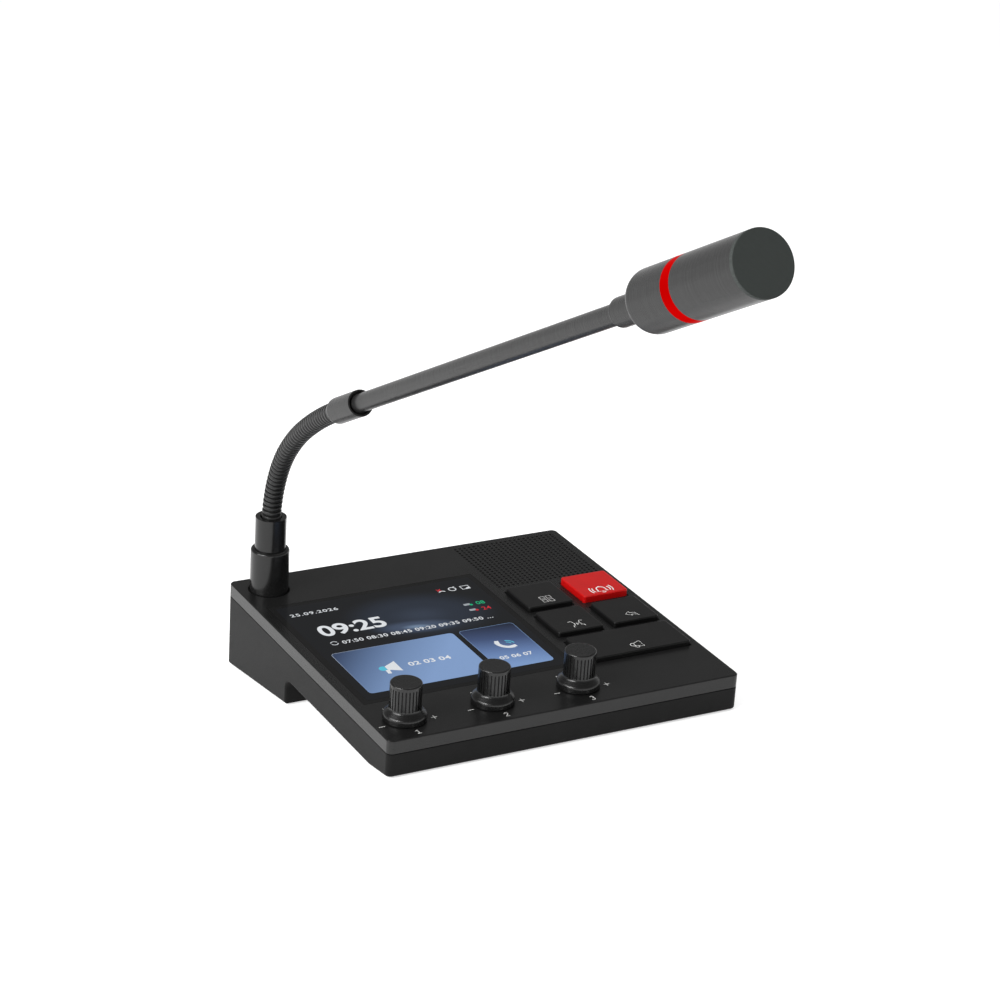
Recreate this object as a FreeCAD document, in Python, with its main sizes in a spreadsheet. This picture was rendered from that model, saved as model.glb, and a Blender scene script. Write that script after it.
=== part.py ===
import FreeCAD, Part
import math
import os
import Sketcher
from FreeCAD import Placement, Rotation, Vector

# A desktop paging microphone. Millimetres and degrees, +Z up, the operator's side towards -Y.
# The origin is the centre of the rear foot pad's contact face on the desk.
# Three frames are used. The panel frame starts at the middle of the panel's front edge, with X across,
# Y up the slope and Z square to the panel. The socket frame is the panel frame moved to the
# microphone's socket. The arm frame starts where the gooseneck ends, with Z along the stem.

SIZES = {
    # case
    "case_width": 200,
    "case_length": 196,
    "slope": 8.2,
    "front_height": 19.63,
    "band_depth": 7.1,
    "case_wall": 2.5,
    "plate_thickness": 2.5,
    "corner_radius": 3.2,
    "edge_chamfer": 0.5,
    "parting_gap": 0.5,
    "parting_depth": 0.8,
    "sole_round": 1.3,
    "slab_depth": 22.7,
    "rear_foot_length": 76.25,
    "foot_fillet": 5,
    # feet
    "pad_projection": 0.8,
    "pad_recess": 0.8,
    "pad_gap": 0.1,
    "strip_length": 150,
    "strip_width": 6,
    "strip_setback": 16.5,
    "rear_pad_length": 150,
    "rear_pad_width": 36,
    # case screws and their bosses
    "boss_front_y": 8,
    "boss_rear_setback": 13,
    "boss_radius": 3.6,
    "boss_split": 13.8,
    "boss_web": 3,
    "boss_rim": 1.1,
    "boss_socket_shift": 5.4,
    "boss_speaker_gap": 12.96,
    "screw_radius": 1.5,
    "screw_head_radius": 2.8,
    "screw_head_height": 2,
    "screw_reach": 8,
    "thread_gap": 0.05,
    "hole_gap": 0.2,
    "bore_spare": 1,
    "cut_overrun": 1,
    # display
    "window_side_setback": 5.6,
    "window_setback": 39.7,
    "window_width": 121.3,
    "window_length": 119.3,
    "glass_thickness": 1.1,
    "glass_gap": 0.15,
    "ledge_width": 3,
    "display_gap": 0.4,
    "display_thickness": 5,
    # boards
    "board_thickness": 1.6,
    "main_board_overlap": 5,
    "main_post_radius": 2.2,
    "main_post_inset": 3.2,
    "main_post_front_lap": 0.6,
    "main_post_rear_lap": 0.8,
    "main_board_side_lap": 0.3,
    "small_screw_radius": 0.9,
    "small_head_radius": 1.7,
    "small_head_height": 1.2,
    "small_screw_reach": 2.4,
    "clamp_screw_reach": 1.8,
    "clamp_head_radius": 2.5,
    # keys
    "key_width": 27.2,
    "key_length": 26.7,
    "key_pitch_x": 33.7,
    "key_pitch_y": 32.65,
    "key_block_side_setback": 36.1,
    "key_front_y": 52.1,
    "key_height": 2.6,
    "alert_key_height": 3.5,
    "key_corner": 1.6,
    "key_edge": 0.7,
    "key_gap": 0.5,
    "key_flange": 1,
    "key_flange_thickness": 1,
    "key_play": 0.3,
    "plunger_radius": 1.75,
    "plunger_length": 2.8,
    "plunger_gap": 0.3,
    "key_board_depth": 9,
    "key_board_side": 1.5,
    "switch_width": 6.2,
    "switch_height": 3.4,
    "switch_bore_depth": 2.8,
    "key_post_radius": 1.6,
    "key_post_outset": 2.3,
    # knobs
    "dial_pitch": 48.85,
    "dial_side_setback": 17.95,
    "dial_y": 19.6,
    "knob_radius": 8.1,
    "knob_height": 20.2,
    "knob_top_round": 0.9,
    "knob_foot_height": 6.3,
    "skirt_radius": 11.1,
    "skirt_lift": 0.5,
    "skirt_height": 3.4,
    "skirt_round": 2,
    "knob_foot_fillet": 2,
    "flute_count": 28,
    "flute_width": 0.7,
    "flute_depth": 0.5,
    "flute_start": 6.9,
    "flute_end": 18.1,
    "shaft_radius": 3,
    "shaft_gap": 0.06,
    "knob_fit": 0.03,
    "shaft_top": 15.5,
    "shaft_flat": 0.8,
    "shaft_disc_radius": 4.2,
    "bushing_radius": 3.5,
    "bushing_height": 4.4,
    "nut_radius": 5.4,
    "nut_height": 2,
    "nut_pocket_gap": 0.9,
    "encoder_width": 12,
    "encoder_height": 6.5,
    "encoder_floor": 1,
    "dial_board_margin": 10,
    # speaker
    "speaker_side_setback": 36.05,
    "speaker_rear_setback": 31.8,
    "speaker_holes_x": 22,
    "speaker_holes_y": 20,
    "speaker_pitch_x": 2.874,
    "speaker_pitch_y": 2.748,
    "speaker_hole_radius": 0.8,
    "speaker_radius": 27,
    "gasket_width": 4,
    "gasket_thickness": 0.8,
    "basket_flange": 1.2,
    "basket_depth": 10.5,
    "basket_wall": 1,
    "magnet_radius": 15,
    "magnet_height": 6,
    "cone_depth": 6,
    "cone_thickness": 0.4,
    "speaker_post_radius": 1.6,
    "speaker_post_gap": 0.7,
    "cone_edge_gap": 0.8,
    "cone_drop": 0.3,
    "cap_crown": 1.6,
    # microphone socket and plug
    "mic_side_setback": 16.4,
    "mic_setback": 16,
    "groove_radius": 11.3,
    "collar_radius": 10.35,
    "collar_height": 24.4,
    "collar_round": 1.5,
    "collar_wall": 1.35,
    "collar_cap": 2.6,
    "plug_gap": 0.3,
    "plug_depth": 12,
    "socket_radius": 13.2,
    "socket_depth": 20,
    "socket_floor": 4,
    "ear_offset": 17.5,
    "ear_radius": 3.5,
    "ear_drop": 3.5,
    "ear_thickness": 3,
    "ear_web_step": 0.2,
    "pin_circle_radius": 4,
    "pin_radius": 1.2,
    "pin_length": 13,
    "pin_tail": 1,
    "pin_end_gap": 0.5,
    "insert_lift": 0.5,
    "insert_top": 1,
    "sleeve_radius": 8.3,
    "sleeve_top": 42.4,
    "sleeve_lift": 0.1,
    "cup_rim": 2.5,
    "cup_depth": 4,
    "spigot_radius": 5.9,
    "swivel_gap": 0.08,
    "clip_groove_depth": 0.8,
    "clip_radius": 7.4,
    "clip_thickness": 1.2,
    "clip_slot": 3.6,
    "spigot_tail": 1.2,
    # gooseneck
    "neck_radius": 5.22,
    "neck_bore": 3.2,
    "neck_fit": 0.06,
    "neck_start": 35.7,
    "rib_pitch": 3,
    "rib_depth": 0.6,
    "rib_crest": 2.1,
    "rib_groove": 0.4,
    "bend_1_radius": 80.8,
    "bend_1_angle": 41,
    "bend_2_radius": 130.6,
    "bend_2_angle": 11.4,
    "bend_3_radius": 258.3,
    "bend_3_angle": 9.31,
    "lead_radius": 1.5,
    "lead_gap": 1,
    "lead_end_gap": 0.3,
    # arm
    "ferrule_length": 30,
    "ferrule_radius": 6.75,
    "ferrule_tail_radius": 5.75,
    "ferrule_round": 3.5,
    "ferrule_fillet": 2.5,
    "ferrule_cup_radius": 5.95,
    "ferrule_cup_depth": 3,
    "ferrule_stop": 1.5,
    "stem_radius": 4.68,
    "stem_wall": 0.9,
    "stem_fit": 0.06,
    "boot_start": 294.6,
    "boot_radius": 6.5,
    "boot_round": 1,
    "head_start": 318.5,
    "head_radius": 13.6,
    "head_round": 5,
    "head_wall": 1.5,
    "head_back": 3,
    "stem_nut_radius": 8,
    "stem_nut_height": 3.5,
    "stem_nut_setback": 0.5,
    "ring_start": 349.8,
    "ring_width": 6.7,
    "ring_lap": 3.8,
    "ring_core": 1.2,
    "core_gap": 0.1,
    "arm_length": 404,
    "mesh_thickness": 2,
    "mesh_spigot": 2,
    "mesh_chamfer": 0.2,
    "capsule_radius": 7,
    "capsule_length": 12,
    "capsule_setback": 8,
    "capsule_step": 1,
    "holder_length": 8,
    "led_size": 2,
    "led_radius": 8,
    # rear board and jacks
    "rear_board_side_setback": 36,
    "rear_board_width": 60,
    "rear_board_front_setback": 31,
    "rear_board_depth": 37,
    "rear_post_radius": 2.5,
    "rear_post_side": 0.5,
    "rear_post_front": 1,
    "rear_bore_spare": 0.6,
    "network_side_setback": 52,
    "network_width": 16,
    "network_height": 13.4,
    "network_length": 21,
    "port_width": 11.8,
    "port_height": 7.4,
    "port_length": 14,
    "power_side_setback": 31,
    "power_radius": 5,
    "power_bore": 3.2,
    "power_length": 14,
    "power_pin": 1,
    "audio_side_setback": 15,
    "audio_radius": 3.6,
    "audio_bore": 1.8,
    "jack_gap": 0.3,
    "jack_inset": 0.3,
    "jack_floor": 3,
    "jack_pin_setback": 1,
    # ballast plate
    "ballast_x": -22,
    "ballast_width": 104,
    "ballast_front": -33,
    "ballast_length": 51,
    "ballast_thickness": 5,
    "ballast_screw_spacing": 80,
    "ballast_screw_y": -8,
    "ballast_boss_radius": 3.4,
    "ballast_head_lap": 1.6,
    "ballast_screw_spare": 1,
}


class Bound:
    """A number that remembers the expression that gives it from the sheet."""

    def __init__(self, value, text):
        self.value = float(value)
        self.text = text

    def __add__(self, other):
        other = bound(other)
        return Bound(self.value + other.value, f"({self.text} + {other.text})")

    def __sub__(self, other):
        other = bound(other)
        return Bound(self.value - other.value, f"({self.text} - {other.text})")

    def __mul__(self, other):
        other = bound(other)
        return Bound(self.value * other.value, f"{self.text} * {other.text}")

    def __truediv__(self, other):
        other = bound(other)
        return Bound(self.value / other.value, f"({self.text} / {other.text})")

    def __neg__(self):
        return Bound(-self.value, f"(0 - {self.text})")

    def __radd__(self, other):
        return bound(other) + self

    def __rsub__(self, other):
        return bound(other) - self

    def __rmul__(self, other):
        return bound(other) * self

    def __float__(self):
        return self.value


def bound(number):
    return number if isinstance(number, Bound) else Bound(number, f"({number})")


def sin(angle):
    angle = bound(angle)
    return Bound(math.sin(math.radians(angle.value)), f"sin({angle.text})")


def cos(angle):
    angle = bound(angle)
    return Bound(math.cos(math.radians(angle.value)), f"cos({angle.text})")


def tan(angle):
    angle = bound(angle)
    return Bound(math.tan(math.radians(angle.value)), f"tan({angle.text})")


class Sheet:
    """The named sizes, each a value with its cell's name."""


doc = FreeCAD.newDocument("PagingMicrophone")
table = doc.addObject("Spreadsheet::Sheet", "Sizes")
z = Sheet()
for row, (name, number) in enumerate(SIZES.items(), 1):
    table.set(f"A{row}", name)
    table.set(f"B{row}", str(number))
    table.setAlias(f"B{row}", name)
    setattr(z, name, Bound(number, f"Sizes.{name}"))
doc.recompute()

# what stands at a set distance from the left or the right side
half_width = z.case_width / 2
mic_x = z.mic_side_setback - half_width
window_x = z.window_side_setback + z.window_width / 2 - half_width
dial_first_x = z.dial_side_setback - half_width
key_block_x = half_width - z.key_block_side_setback
speaker_x = half_width - z.speaker_side_setback
rear_board_x = half_width - z.rear_board_side_setback
network_x = half_width - z.network_side_setback
power_x = half_width - z.power_side_setback
audio_x = half_width - z.audio_side_setback

# where the frames stand
foot_mid = z.case_length - z.rear_foot_length / 2
panel_y = -(foot_mid * cos(z.slope) + (z.front_height + foot_mid * tan(z.slope)) * sin(z.slope))
panel_z = z.pad_projection + z.front_height * cos(z.slope)
mic_y = z.case_length - z.mic_setback
socket_y = panel_y + mic_y * cos(z.slope)
socket_z = panel_z + mic_y * sin(z.slope)

# the gooseneck's centre line: three arcs in one upright plane, each turning further forward
NECK_BENDS = (
    (z.bend_1_radius, z.bend_1_angle),
    (z.bend_2_radius, z.bend_2_angle),
    (z.bend_3_radius, z.bend_3_angle),
)
arm_lean = z.slope
neck_y = socket_y - z.neck_start * sin(z.slope)
neck_z = socket_z + z.neck_start * cos(z.slope)
arm_y = neck_y
arm_z = neck_z
for bend_radius, bend_angle in NECK_BENDS:
    lean_after = arm_lean + bend_angle
    arm_y = arm_y - bend_radius * (cos(arm_lean) - cos(lean_after))
    arm_z = arm_z + bend_radius * (sin(lean_after) - sin(arm_lean))
    arm_lean = lean_after

FRAMES = {
    "world": (0, 0, 0, 0),
    "panel": (0, panel_y, panel_z, z.slope),
    "socket": (mic_x, socket_y, socket_z, z.slope),
    "arm": (mic_x, arm_y, arm_z, arm_lean),
}

NODES = []


def place(piece, frame, x=0, y=0, height=0):
    """Puts a piece into a frame, moved by x, y and height within it."""
    base_x, base_y, base_z, lean = FRAMES[frame]
    at_x = bound(base_x) + x
    at_y = bound(base_y) + bound(y) * cos(lean) - bound(height) * sin(lean)
    at_z = bound(base_z) + bound(y) * sin(lean) + bound(height) * cos(lean)
    angle = bound(lean)
    spot = Vector(at_x.value, at_y.value, at_z.value)
    piece.Placement = Placement(spot, Rotation(Vector(1, 0, 0), angle.value))
    piece.setExpression(".Placement.Base.x", at_x.text)
    piece.setExpression(".Placement.Base.y", at_y.text)
    piece.setExpression(".Placement.Base.z", at_z.text)
    piece.setExpression(".Placement.Rotation.Angle", angle.text)


def as_node(piece, label):
    piece.Label = label
    NODES.append(piece)
    return piece


def new_body(name):
    return doc.addObject("PartDesign::Body", name)


def new_sketch(body, role, offset=(0, 0, 0), tilt=None):
    """A sketch on one of the body's origin planes, moved by offset and tilted about X."""
    sketch = body.newObject("Sketcher::SketchObject", body.Name + "_sketch")
    plane = [feature for feature in body.Origin.OriginFeatures if feature.Role == role][0]
    sketch.AttachmentSupport = [(plane, "")]
    sketch.MapMode = "FlatFace"
    shift = [bound(part) for part in offset]
    turn = Rotation()
    if tilt is not None:
        turn = Rotation(Vector(1, 0, 0), tilt.value)
    sketch.AttachmentOffset = Placement(Vector(*[part.value for part in shift]), turn)
    for axis, part in zip("xyz", shift):
        sketch.setExpression(f".AttachmentOffset.Base.{axis}", part.text)
    if tilt is not None:
        axis = sketch.AttachmentOffset.Rotation.Axis
        size = tilt if axis.x > 0 else -tilt
        sketch.setExpression(".AttachmentOffset.Rotation.Angle", size.text)
    return sketch


def pin_point(sketch, geometry, end, x, y):
    for kind, part in (("DistanceX", bound(x)), ("DistanceY", bound(y))):
        if abs(part.value) < 1e-9:
            on_axis = "DistanceX" if kind == "DistanceX" else "DistanceY"
            number = sketch.addConstraint(Sketcher.Constraint(on_axis, -1, 1, geometry, end, 0.0))
        else:
            number = sketch.addConstraint(Sketcher.Constraint(kind, -1, 1, geometry, end, part.value))
        sketch.setExpression(f"Constraints[{number}]", part.text)


def add_outline(sketch, points):
    """A closed outline of straight lines, each corner held by its two distances."""
    spots = [Vector(float(x), float(y), 0) for x, y in points]
    first = sketch.GeometryCount
    count = len(points)
    for i in range(count):
        sketch.addGeometry(Part.LineSegment(spots[i], spots[(i + 1) % count]), False)
    for i in range(count):
        follower = first + (i + 1) % count
        sketch.addConstraint(Sketcher.Constraint("Coincident", first + i, 2, follower, 1))
    for i, (x, y) in enumerate(points):
        pin_point(sketch, first + i, 1, x, y)


def add_rectangle(sketch, x, y, width, length):
    left = bound(x) - bound(width) / 2
    right = bound(x) + bound(width) / 2
    front = bound(y) - bound(length) / 2
    rear = bound(y) + bound(length) / 2
    add_outline(sketch, [(left, front), (right, front), (right, rear), (left, rear)])


def add_circle(sketch, x, y, radius):
    radius = bound(radius)
    spot = Vector(float(x), float(y), 0)
    index = sketch.addGeometry(Part.Circle(spot, Vector(0, 0, 1), radius.value), False)
    pin_point(sketch, index, 3, x, y)
    number = sketch.addConstraint(Sketcher.Constraint("Radius", index, radius.value))
    sketch.setExpression(f"Constraints[{number}]", radius.text)


def pad(body, sketch, length, side="One side", down=False):
    feature = body.newObject("PartDesign::Pad", body.Name + "_pad")
    feature.Profile = sketch
    feature.SideType = side
    feature.Reversed = down
    feature.setExpression("Length", bound(length).text)
    doc.recompute()
    return feature


def pocket(body, sketch, length, side="One side", up=False):
    """Cuts against the sketch's normal, or along it with up, and makes sure that it cut something."""
    before = body.Shape.Volume
    feature = body.newObject("PartDesign::Pocket", body.Name + "_pocket")
    feature.Profile = sketch
    feature.SideType = side
    feature.Reversed = up
    feature.setExpression("Length", bound(length).text)
    doc.recompute()
    if body.Shape.Volume > before - 0.01:
        raise RuntimeError(f"{feature.Name} cuts nothing")
    return feature


def pick_edges(body, wanted):
    edges = body.Tip.Shape.Edges
    names = [f"Edge{i}" for i, edge in enumerate(edges, 1) if wanted(edge)]
    if not names:
        raise RuntimeError(f"{body.Name}: no edge found")
    return names


def fillet(body, radius, wanted):
    base = body.Tip
    names = pick_edges(body, wanted)
    feature = body.newObject("PartDesign::Fillet", body.Name + "_fillet")
    feature.Base = (base, names)
    feature.setExpression("Radius", bound(radius).text)
    doc.recompute()
    return feature


def chamfer(body, size, wanted):
    base = body.Tip
    names = pick_edges(body, wanted)
    feature = body.newObject("PartDesign::Chamfer", body.Name + "_chamfer")
    feature.Base = (base, names)
    feature.setExpression("Size", bound(size).text)
    doc.recompute()
    return feature


def near(a, b):
    return abs(float(a) - float(b)) < 1e-4


def is_upright(edge):
    if not isinstance(edge.Curve, Part.Line):
        return False
    return abs(edge.Curve.Direction.z) > 0.999


def ring_at(radius, height):
    """Picks the circular edge of a turned piece at a radius and a height."""

    def wanted(edge):
        if not isinstance(edge.Curve, Part.Circle):
            return False
        return near(edge.Curve.Radius, radius) and near(edge.Curve.Center.z, height)

    return wanted


def turned(name, points):
    """A body of revolution about Z, from an outline of radius and height."""
    body = new_body(name)
    sketch = new_sketch(body, "XZ_Plane")
    add_outline(sketch, points)
    feature = body.newObject("PartDesign::Revolution", body.Name + "_turn")
    feature.Profile = sketch
    feature.ReferenceAxis = (sketch, ["V_Axis"])
    feature.Angle = 360
    doc.recompute()
    return body


def block(name, width, length, thickness, x=0, y=0, bottom=0):
    """A rectangular plate or block, centred on x and y."""
    body = new_body(name)
    sketch = new_sketch(body, "XY_Plane", (0, 0, bottom))
    add_rectangle(sketch, x, y, width, length)
    pad(body, sketch, thickness)
    return body


def shape_node(label, shape, frame):
    """A piece whose shape is worked out here and then put into its frame."""
    piece = doc.addObject("Part::Feature", label)
    piece.Shape = shape
    place(piece, frame)
    return as_node(piece, label)


def screw(x, y, seat, radius, head_radius, head_height, reach):
    """A pan-head screw with a hex socket, driven upwards (+Z) with its head's face at seat."""
    x, y, seat = float(x), float(y), float(seat)
    head = Part.makeCylinder(float(head_radius), float(head_height), Vector(x, y, seat - float(head_height)))
    shank = Part.makeCylinder(float(radius), float(reach), Vector(x, y, seat))
    corners = []
    for i in range(7):
        angle = math.radians(60 * i)
        across = float(radius)
        corners.append(
            Vector(x + across * math.cos(angle), y + across * math.sin(angle), seat - float(head_height))
        )
    recess = Part.Face(Part.makePolygon(corners)).extrude(Vector(0, 0, 0.6 * float(head_height)))
    return head.fuse(shank).cut(recess)


# places that several pieces share
window_y = z.window_setback + z.window_length / 2
speaker_y = z.case_length - z.speaker_rear_setback
boss_rear_y = z.case_length - z.boss_rear_setback
middle_row_y = z.key_front_y + z.key_pitch_y
back_row_y = z.key_front_y + z.key_pitch_y * 2
left_column_x = key_block_x - z.key_pitch_x / 2
right_column_x = key_block_x + z.key_pitch_x / 2
long_key_width = z.key_pitch_x + z.key_width
DIALS = [dial_first_x + z.dial_pitch * i for i in range(3)]
KEYS = {
    "key_zones": (left_column_x, back_row_y, z.key_width, z.key_height),
    "key_alert": (right_column_x, back_row_y, z.key_width, z.alert_key_height),
    "key_talk": (left_column_x, middle_row_y, z.key_width, z.key_height),
    "key_back": (right_column_x, middle_row_y, z.key_width, z.key_height),
    "key_page": (key_block_x, z.key_front_y, long_key_width, z.key_height),
}
# the long key has a plunger under each half, in line with the columns above it
SWITCHES = [
    (left_column_x, back_row_y),
    (right_column_x, back_row_y),
    (left_column_x, middle_row_y),
    (right_column_x, middle_row_y),
    (left_column_x, z.key_front_y),
    (right_column_x, z.key_front_y),
]
# the case bosses stand between the knobs in front, and beside the socket and the speaker behind
first_gap_x = (DIALS[0] + DIALS[1]) / 2
second_gap_x = (DIALS[1] + DIALS[2]) / 2
inner_speaker_x = speaker_x - z.speaker_radius - z.boss_speaker_gap
BOSSES_FRONT = [
    (first_gap_x, z.boss_front_y),
    (second_gap_x, z.boss_front_y),
    (right_column_x, z.boss_front_y),
]
BOSSES_REAR = [
    (first_gap_x + z.boss_socket_shift, boss_rear_y),
    (second_gap_x, boss_rear_y),
    (inner_speaker_x, boss_rear_y),
]
# boards under the panel
glass_bottom = -z.glass_thickness
display_width = z.window_width - z.ledge_width * 2 - z.display_gap * 2
display_length = z.window_length - z.ledge_width * 2 - z.display_gap * 2
main_board_top = glass_bottom - z.display_thickness
main_board_width = z.window_width + z.main_board_side_lap * 2
main_board_length = z.window_length + z.main_board_overlap * 2
post_front_y = window_y - z.window_length / 2 - z.main_post_inset + z.main_post_front_lap
post_rear_y = window_y + z.window_length / 2 + z.main_post_inset - z.main_post_rear_lap
post_left_x = window_x - z.window_width / 2 + z.main_post_inset
post_right_x = window_x + z.window_width / 2 - z.main_post_inset
rear_post_left_x = window_x - z.window_width / 8
MAIN_POSTS = [
    (post_left_x, post_front_y),
    (post_right_x, post_front_y),
    (rear_post_left_x, post_rear_y),
    (post_right_x - z.main_post_inset, post_rear_y),
]
key_board_top = -z.key_board_depth
half_block_length = z.key_pitch_y + z.key_length / 2 + z.key_flange
row_gap_y = z.key_front_y + z.key_pitch_y / 2
upper_gap_y = row_gap_y + z.key_pitch_y
KEY_POSTS = [
    (key_block_x, middle_row_y - half_block_length - z.key_post_outset),
    (left_column_x, row_gap_y),
    (right_column_x, row_gap_y),
    (key_block_x, upper_gap_y),
    (key_block_x, middle_row_y + half_block_length + z.key_post_outset),
]
speaker_post_reach = (z.speaker_radius + z.speaker_post_radius + z.speaker_post_gap) * cos(45)
SPEAKER_POSTS = [
    (speaker_x + speaker_post_reach * sx, speaker_y + speaker_post_reach * sy)
    for sx, sy in ((1, 1), (-1, 1), (-1, -1), (1, -1))
]
plate_bottom = -z.plate_thickness
ear_top = plate_bottom - z.ear_drop
ear_diagonal = z.ear_offset * cos(45)
EARS = [(z.ear_offset, bound(0)), (ear_diagonal, -ear_diagonal)]


def sole(y):
    """The height of the case's underside plane at y in the panel frame."""
    return -(z.front_height + bound(y) * tan(z.slope))


# upper shell: top panel with its side band, openings, posts and bosses
shell = new_body("UpperShellBlank")
outline = new_sketch(shell, "XY_Plane")
add_rectangle(outline, 0, z.case_length / 2, z.case_width, z.case_length)
pad(shell, outline, z.band_depth, down=True)
fillet(shell, z.corner_radius, is_upright)


def on_panel_rim(edge):
    ends = [vertex.Point.z for vertex in edge.Vertexes]
    return all(near(height, 0) for height in ends)


chamfer(shell, z.edge_chamfer, on_panel_rim)
inside = new_sketch(shell, "XY_Plane", (0, 0, -z.band_depth))
add_rectangle(
    inside,
    0,
    z.case_length / 2,
    z.case_width - z.case_wall * 2,
    z.case_length - z.case_wall * 2,
)
pocket(shell, inside, z.band_depth - z.plate_thickness, up=True)
window = new_sketch(shell, "XY_Plane")
add_rectangle(window, window_x, window_y, z.window_width, z.window_length)
pocket(shell, window, z.glass_thickness)
openings = new_sketch(shell, "XY_Plane")
add_rectangle(
    openings,
    window_x,
    window_y,
    z.window_width - z.ledge_width * 2,
    z.window_length - z.ledge_width * 2,
)
for key_x, key_y, key_across, _ in KEYS.values():
    add_rectangle(openings, key_x, key_y, key_across + z.key_gap * 2, z.key_length + z.key_gap * 2)
for dial_x in DIALS:
    add_circle(openings, dial_x, z.dial_y, z.bushing_radius + z.hole_gap)
add_circle(openings, mic_x, mic_y, z.groove_radius)
pocket(shell, openings, z.plate_thickness)


def shell_posts(spots, radius, bottom, bore, bore_depth):
    """Round posts under the panel down to bottom, each with a blind bore from below."""
    posts = new_sketch(shell, "XY_Plane", (0, 0, plate_bottom))
    for post_x, post_y in spots:
        add_circle(posts, post_x, post_y, radius)
    pad(shell, posts, plate_bottom - bottom, down=True)
    bores = new_sketch(shell, "XY_Plane", (0, 0, bottom))
    for post_x, post_y in spots:
        add_circle(bores, post_x, post_y, bore)
    pocket(shell, bores, bore_depth, up=True)


small_bore = z.small_screw_radius + z.thread_gap
small_bore_depth = z.small_screw_reach - z.board_thickness + z.bore_spare
shell_posts(
    BOSSES_FRONT + BOSSES_REAR,
    z.boss_radius,
    -z.boss_split,
    z.screw_radius + z.thread_gap,
    z.screw_reach - z.boss_web + z.bore_spare,
)
shell_posts(MAIN_POSTS, z.main_post_radius, main_board_top, small_bore, small_bore_depth)
shell_posts(KEY_POSTS, z.key_post_radius, key_board_top, small_bore, small_bore_depth)
basket_seat = plate_bottom - z.gasket_thickness
clamp_level = basket_seat - z.basket_flange
shell_posts(SPEAKER_POSTS, z.speaker_post_radius, clamp_level, small_bore, z.small_screw_reach)
ear_posts = [(mic_x + ear_x, mic_y + ear_y) for ear_x, ear_y in EARS]
shell_posts(ear_posts, z.main_post_radius, ear_top, small_bore, z.small_screw_reach)
place(shell, "panel")

# lower case: front wall, toe, sloped underside and deep rear foot
case = new_body("LowerCase")
toe_end = (z.slab_depth - z.front_height) / tan(z.slope)
foot_front = z.case_length - z.rear_foot_length
side = new_sketch(case, "YZ_Plane")
add_outline(
    side,
    [
        (0, -z.band_depth),
        (0, sole(0)),
        (toe_end, -z.slab_depth),
        (foot_front, -z.slab_depth),
        (foot_front, sole(foot_front)),
        (z.case_length, sole(z.case_length)),
        (z.case_length, -z.band_depth),
    ],
)
pad(case, side, z.case_width, side="Symmetric")


def is_case_corner(edge):
    spots = [vertex.Point for vertex in edge.Vertexes]
    return is_upright(edge) and all(near(spot.y, 0) or near(spot.y, z.case_length) for spot in spots)


def is_foot_hollow(edge):
    spots = [vertex.Point for vertex in edge.Vertexes]
    return all(near(spot.y, foot_front) and near(spot.z, -z.slab_depth) for spot in spots)


def is_parting_corner(edge):
    spots = [vertex.Point for vertex in edge.Vertexes]
    front = z.parting_depth
    rear = z.case_length - z.parting_depth
    return is_upright(edge) and all(near(spot.y, front) or near(spot.y, rear) for spot in spots)


def is_sole_rim(edge):
    """Picks the outer edges of the underside: front, sides, rear and the round corners between them."""
    middle = edge.valueAt((edge.FirstParameter + edge.LastParameter) / 2)
    on_side = abs(middle.x) > (half_width - z.corner_radius / 2).value
    on_end = near(middle.y, 0) or near(middle.y, z.case_length)
    on_sole = near(middle.z, sole(middle.y)) or near(middle.z, -z.slab_depth)
    return on_sole and (on_side or on_end)


# a shadow gap runs round under the upper shell's band
parting = new_sketch(case, "XY_Plane", (0, 0, -z.band_depth))
add_rectangle(
    parting,
    0,
    z.case_length / 2,
    z.case_width + z.cut_overrun * 2,
    z.case_length + z.cut_overrun * 2,
)
add_rectangle(
    parting,
    0,
    z.case_length / 2,
    z.case_width - z.parting_depth * 2,
    z.case_length - z.parting_depth * 2,
)
pocket(case, parting, z.parting_gap)
fillet(case, z.corner_radius, is_case_corner)
fillet(case, z.corner_radius - z.parting_depth, is_parting_corner)
fillet(case, z.foot_fillet, is_foot_hollow)
fillet(case, z.sole_round, is_sole_rim)
floor_lift = z.case_wall / cos(z.slope)
inner_rear = z.case_length - z.case_wall
inner_foot = foot_front + z.case_wall
hollow = new_sketch(case, "YZ_Plane")
add_outline(
    hollow,
    [
        (z.case_wall, -z.band_depth + z.cut_overrun),
        (z.case_wall, sole(z.case_wall) + floor_lift),
        (toe_end, -z.slab_depth + z.case_wall),
        (inner_foot, -z.slab_depth + z.case_wall),
        (inner_foot, sole(inner_foot) + floor_lift),
        (inner_rear, sole(inner_rear) + floor_lift),
        (inner_rear, -z.band_depth + z.cut_overrun),
    ],
)
pocket(case, hollow, z.case_width - z.case_wall * 2, side="Symmetric")


def case_posts(spots, radius, top, drop):
    posts = new_sketch(case, "XY_Plane", (0, 0, top))
    for post_x, post_y in spots:
        add_circle(posts, post_x, post_y, radius)
    pad(case, posts, drop, down=True)


def case_bores(spots, radius, start, reach):
    """Round holes that start at the height start and run upwards."""
    bores = new_sketch(case, "XY_Plane", (0, 0, start))
    for bore_x, bore_y in spots:
        add_circle(bores, bore_x, bore_y, radius)
    pocket(case, bores, reach, up=True)


boss_top = -z.boss_split
counterbore = z.screw_head_radius + z.hole_gap * 1.5
boss_wall = counterbore + z.boss_rim
for spots, boss_y in ((BOSSES_FRONT, z.boss_front_y), (BOSSES_REAR, boss_rear_y)):
    case_posts(spots, boss_wall, boss_top, boss_top - sole(boss_y) - z.case_wall / 2)
below = sole(z.case_length) - z.case_wall
bore_reach = boss_top - z.boss_web - below
case_bores(BOSSES_FRONT + BOSSES_REAR, counterbore, below, bore_reach)
through = z.screw_radius + z.hole_gap
case_bores(BOSSES_FRONT + BOSSES_REAR, through, boss_top - z.boss_web - z.cut_overrun, z.boss_web + z.cut_overrun)

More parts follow.
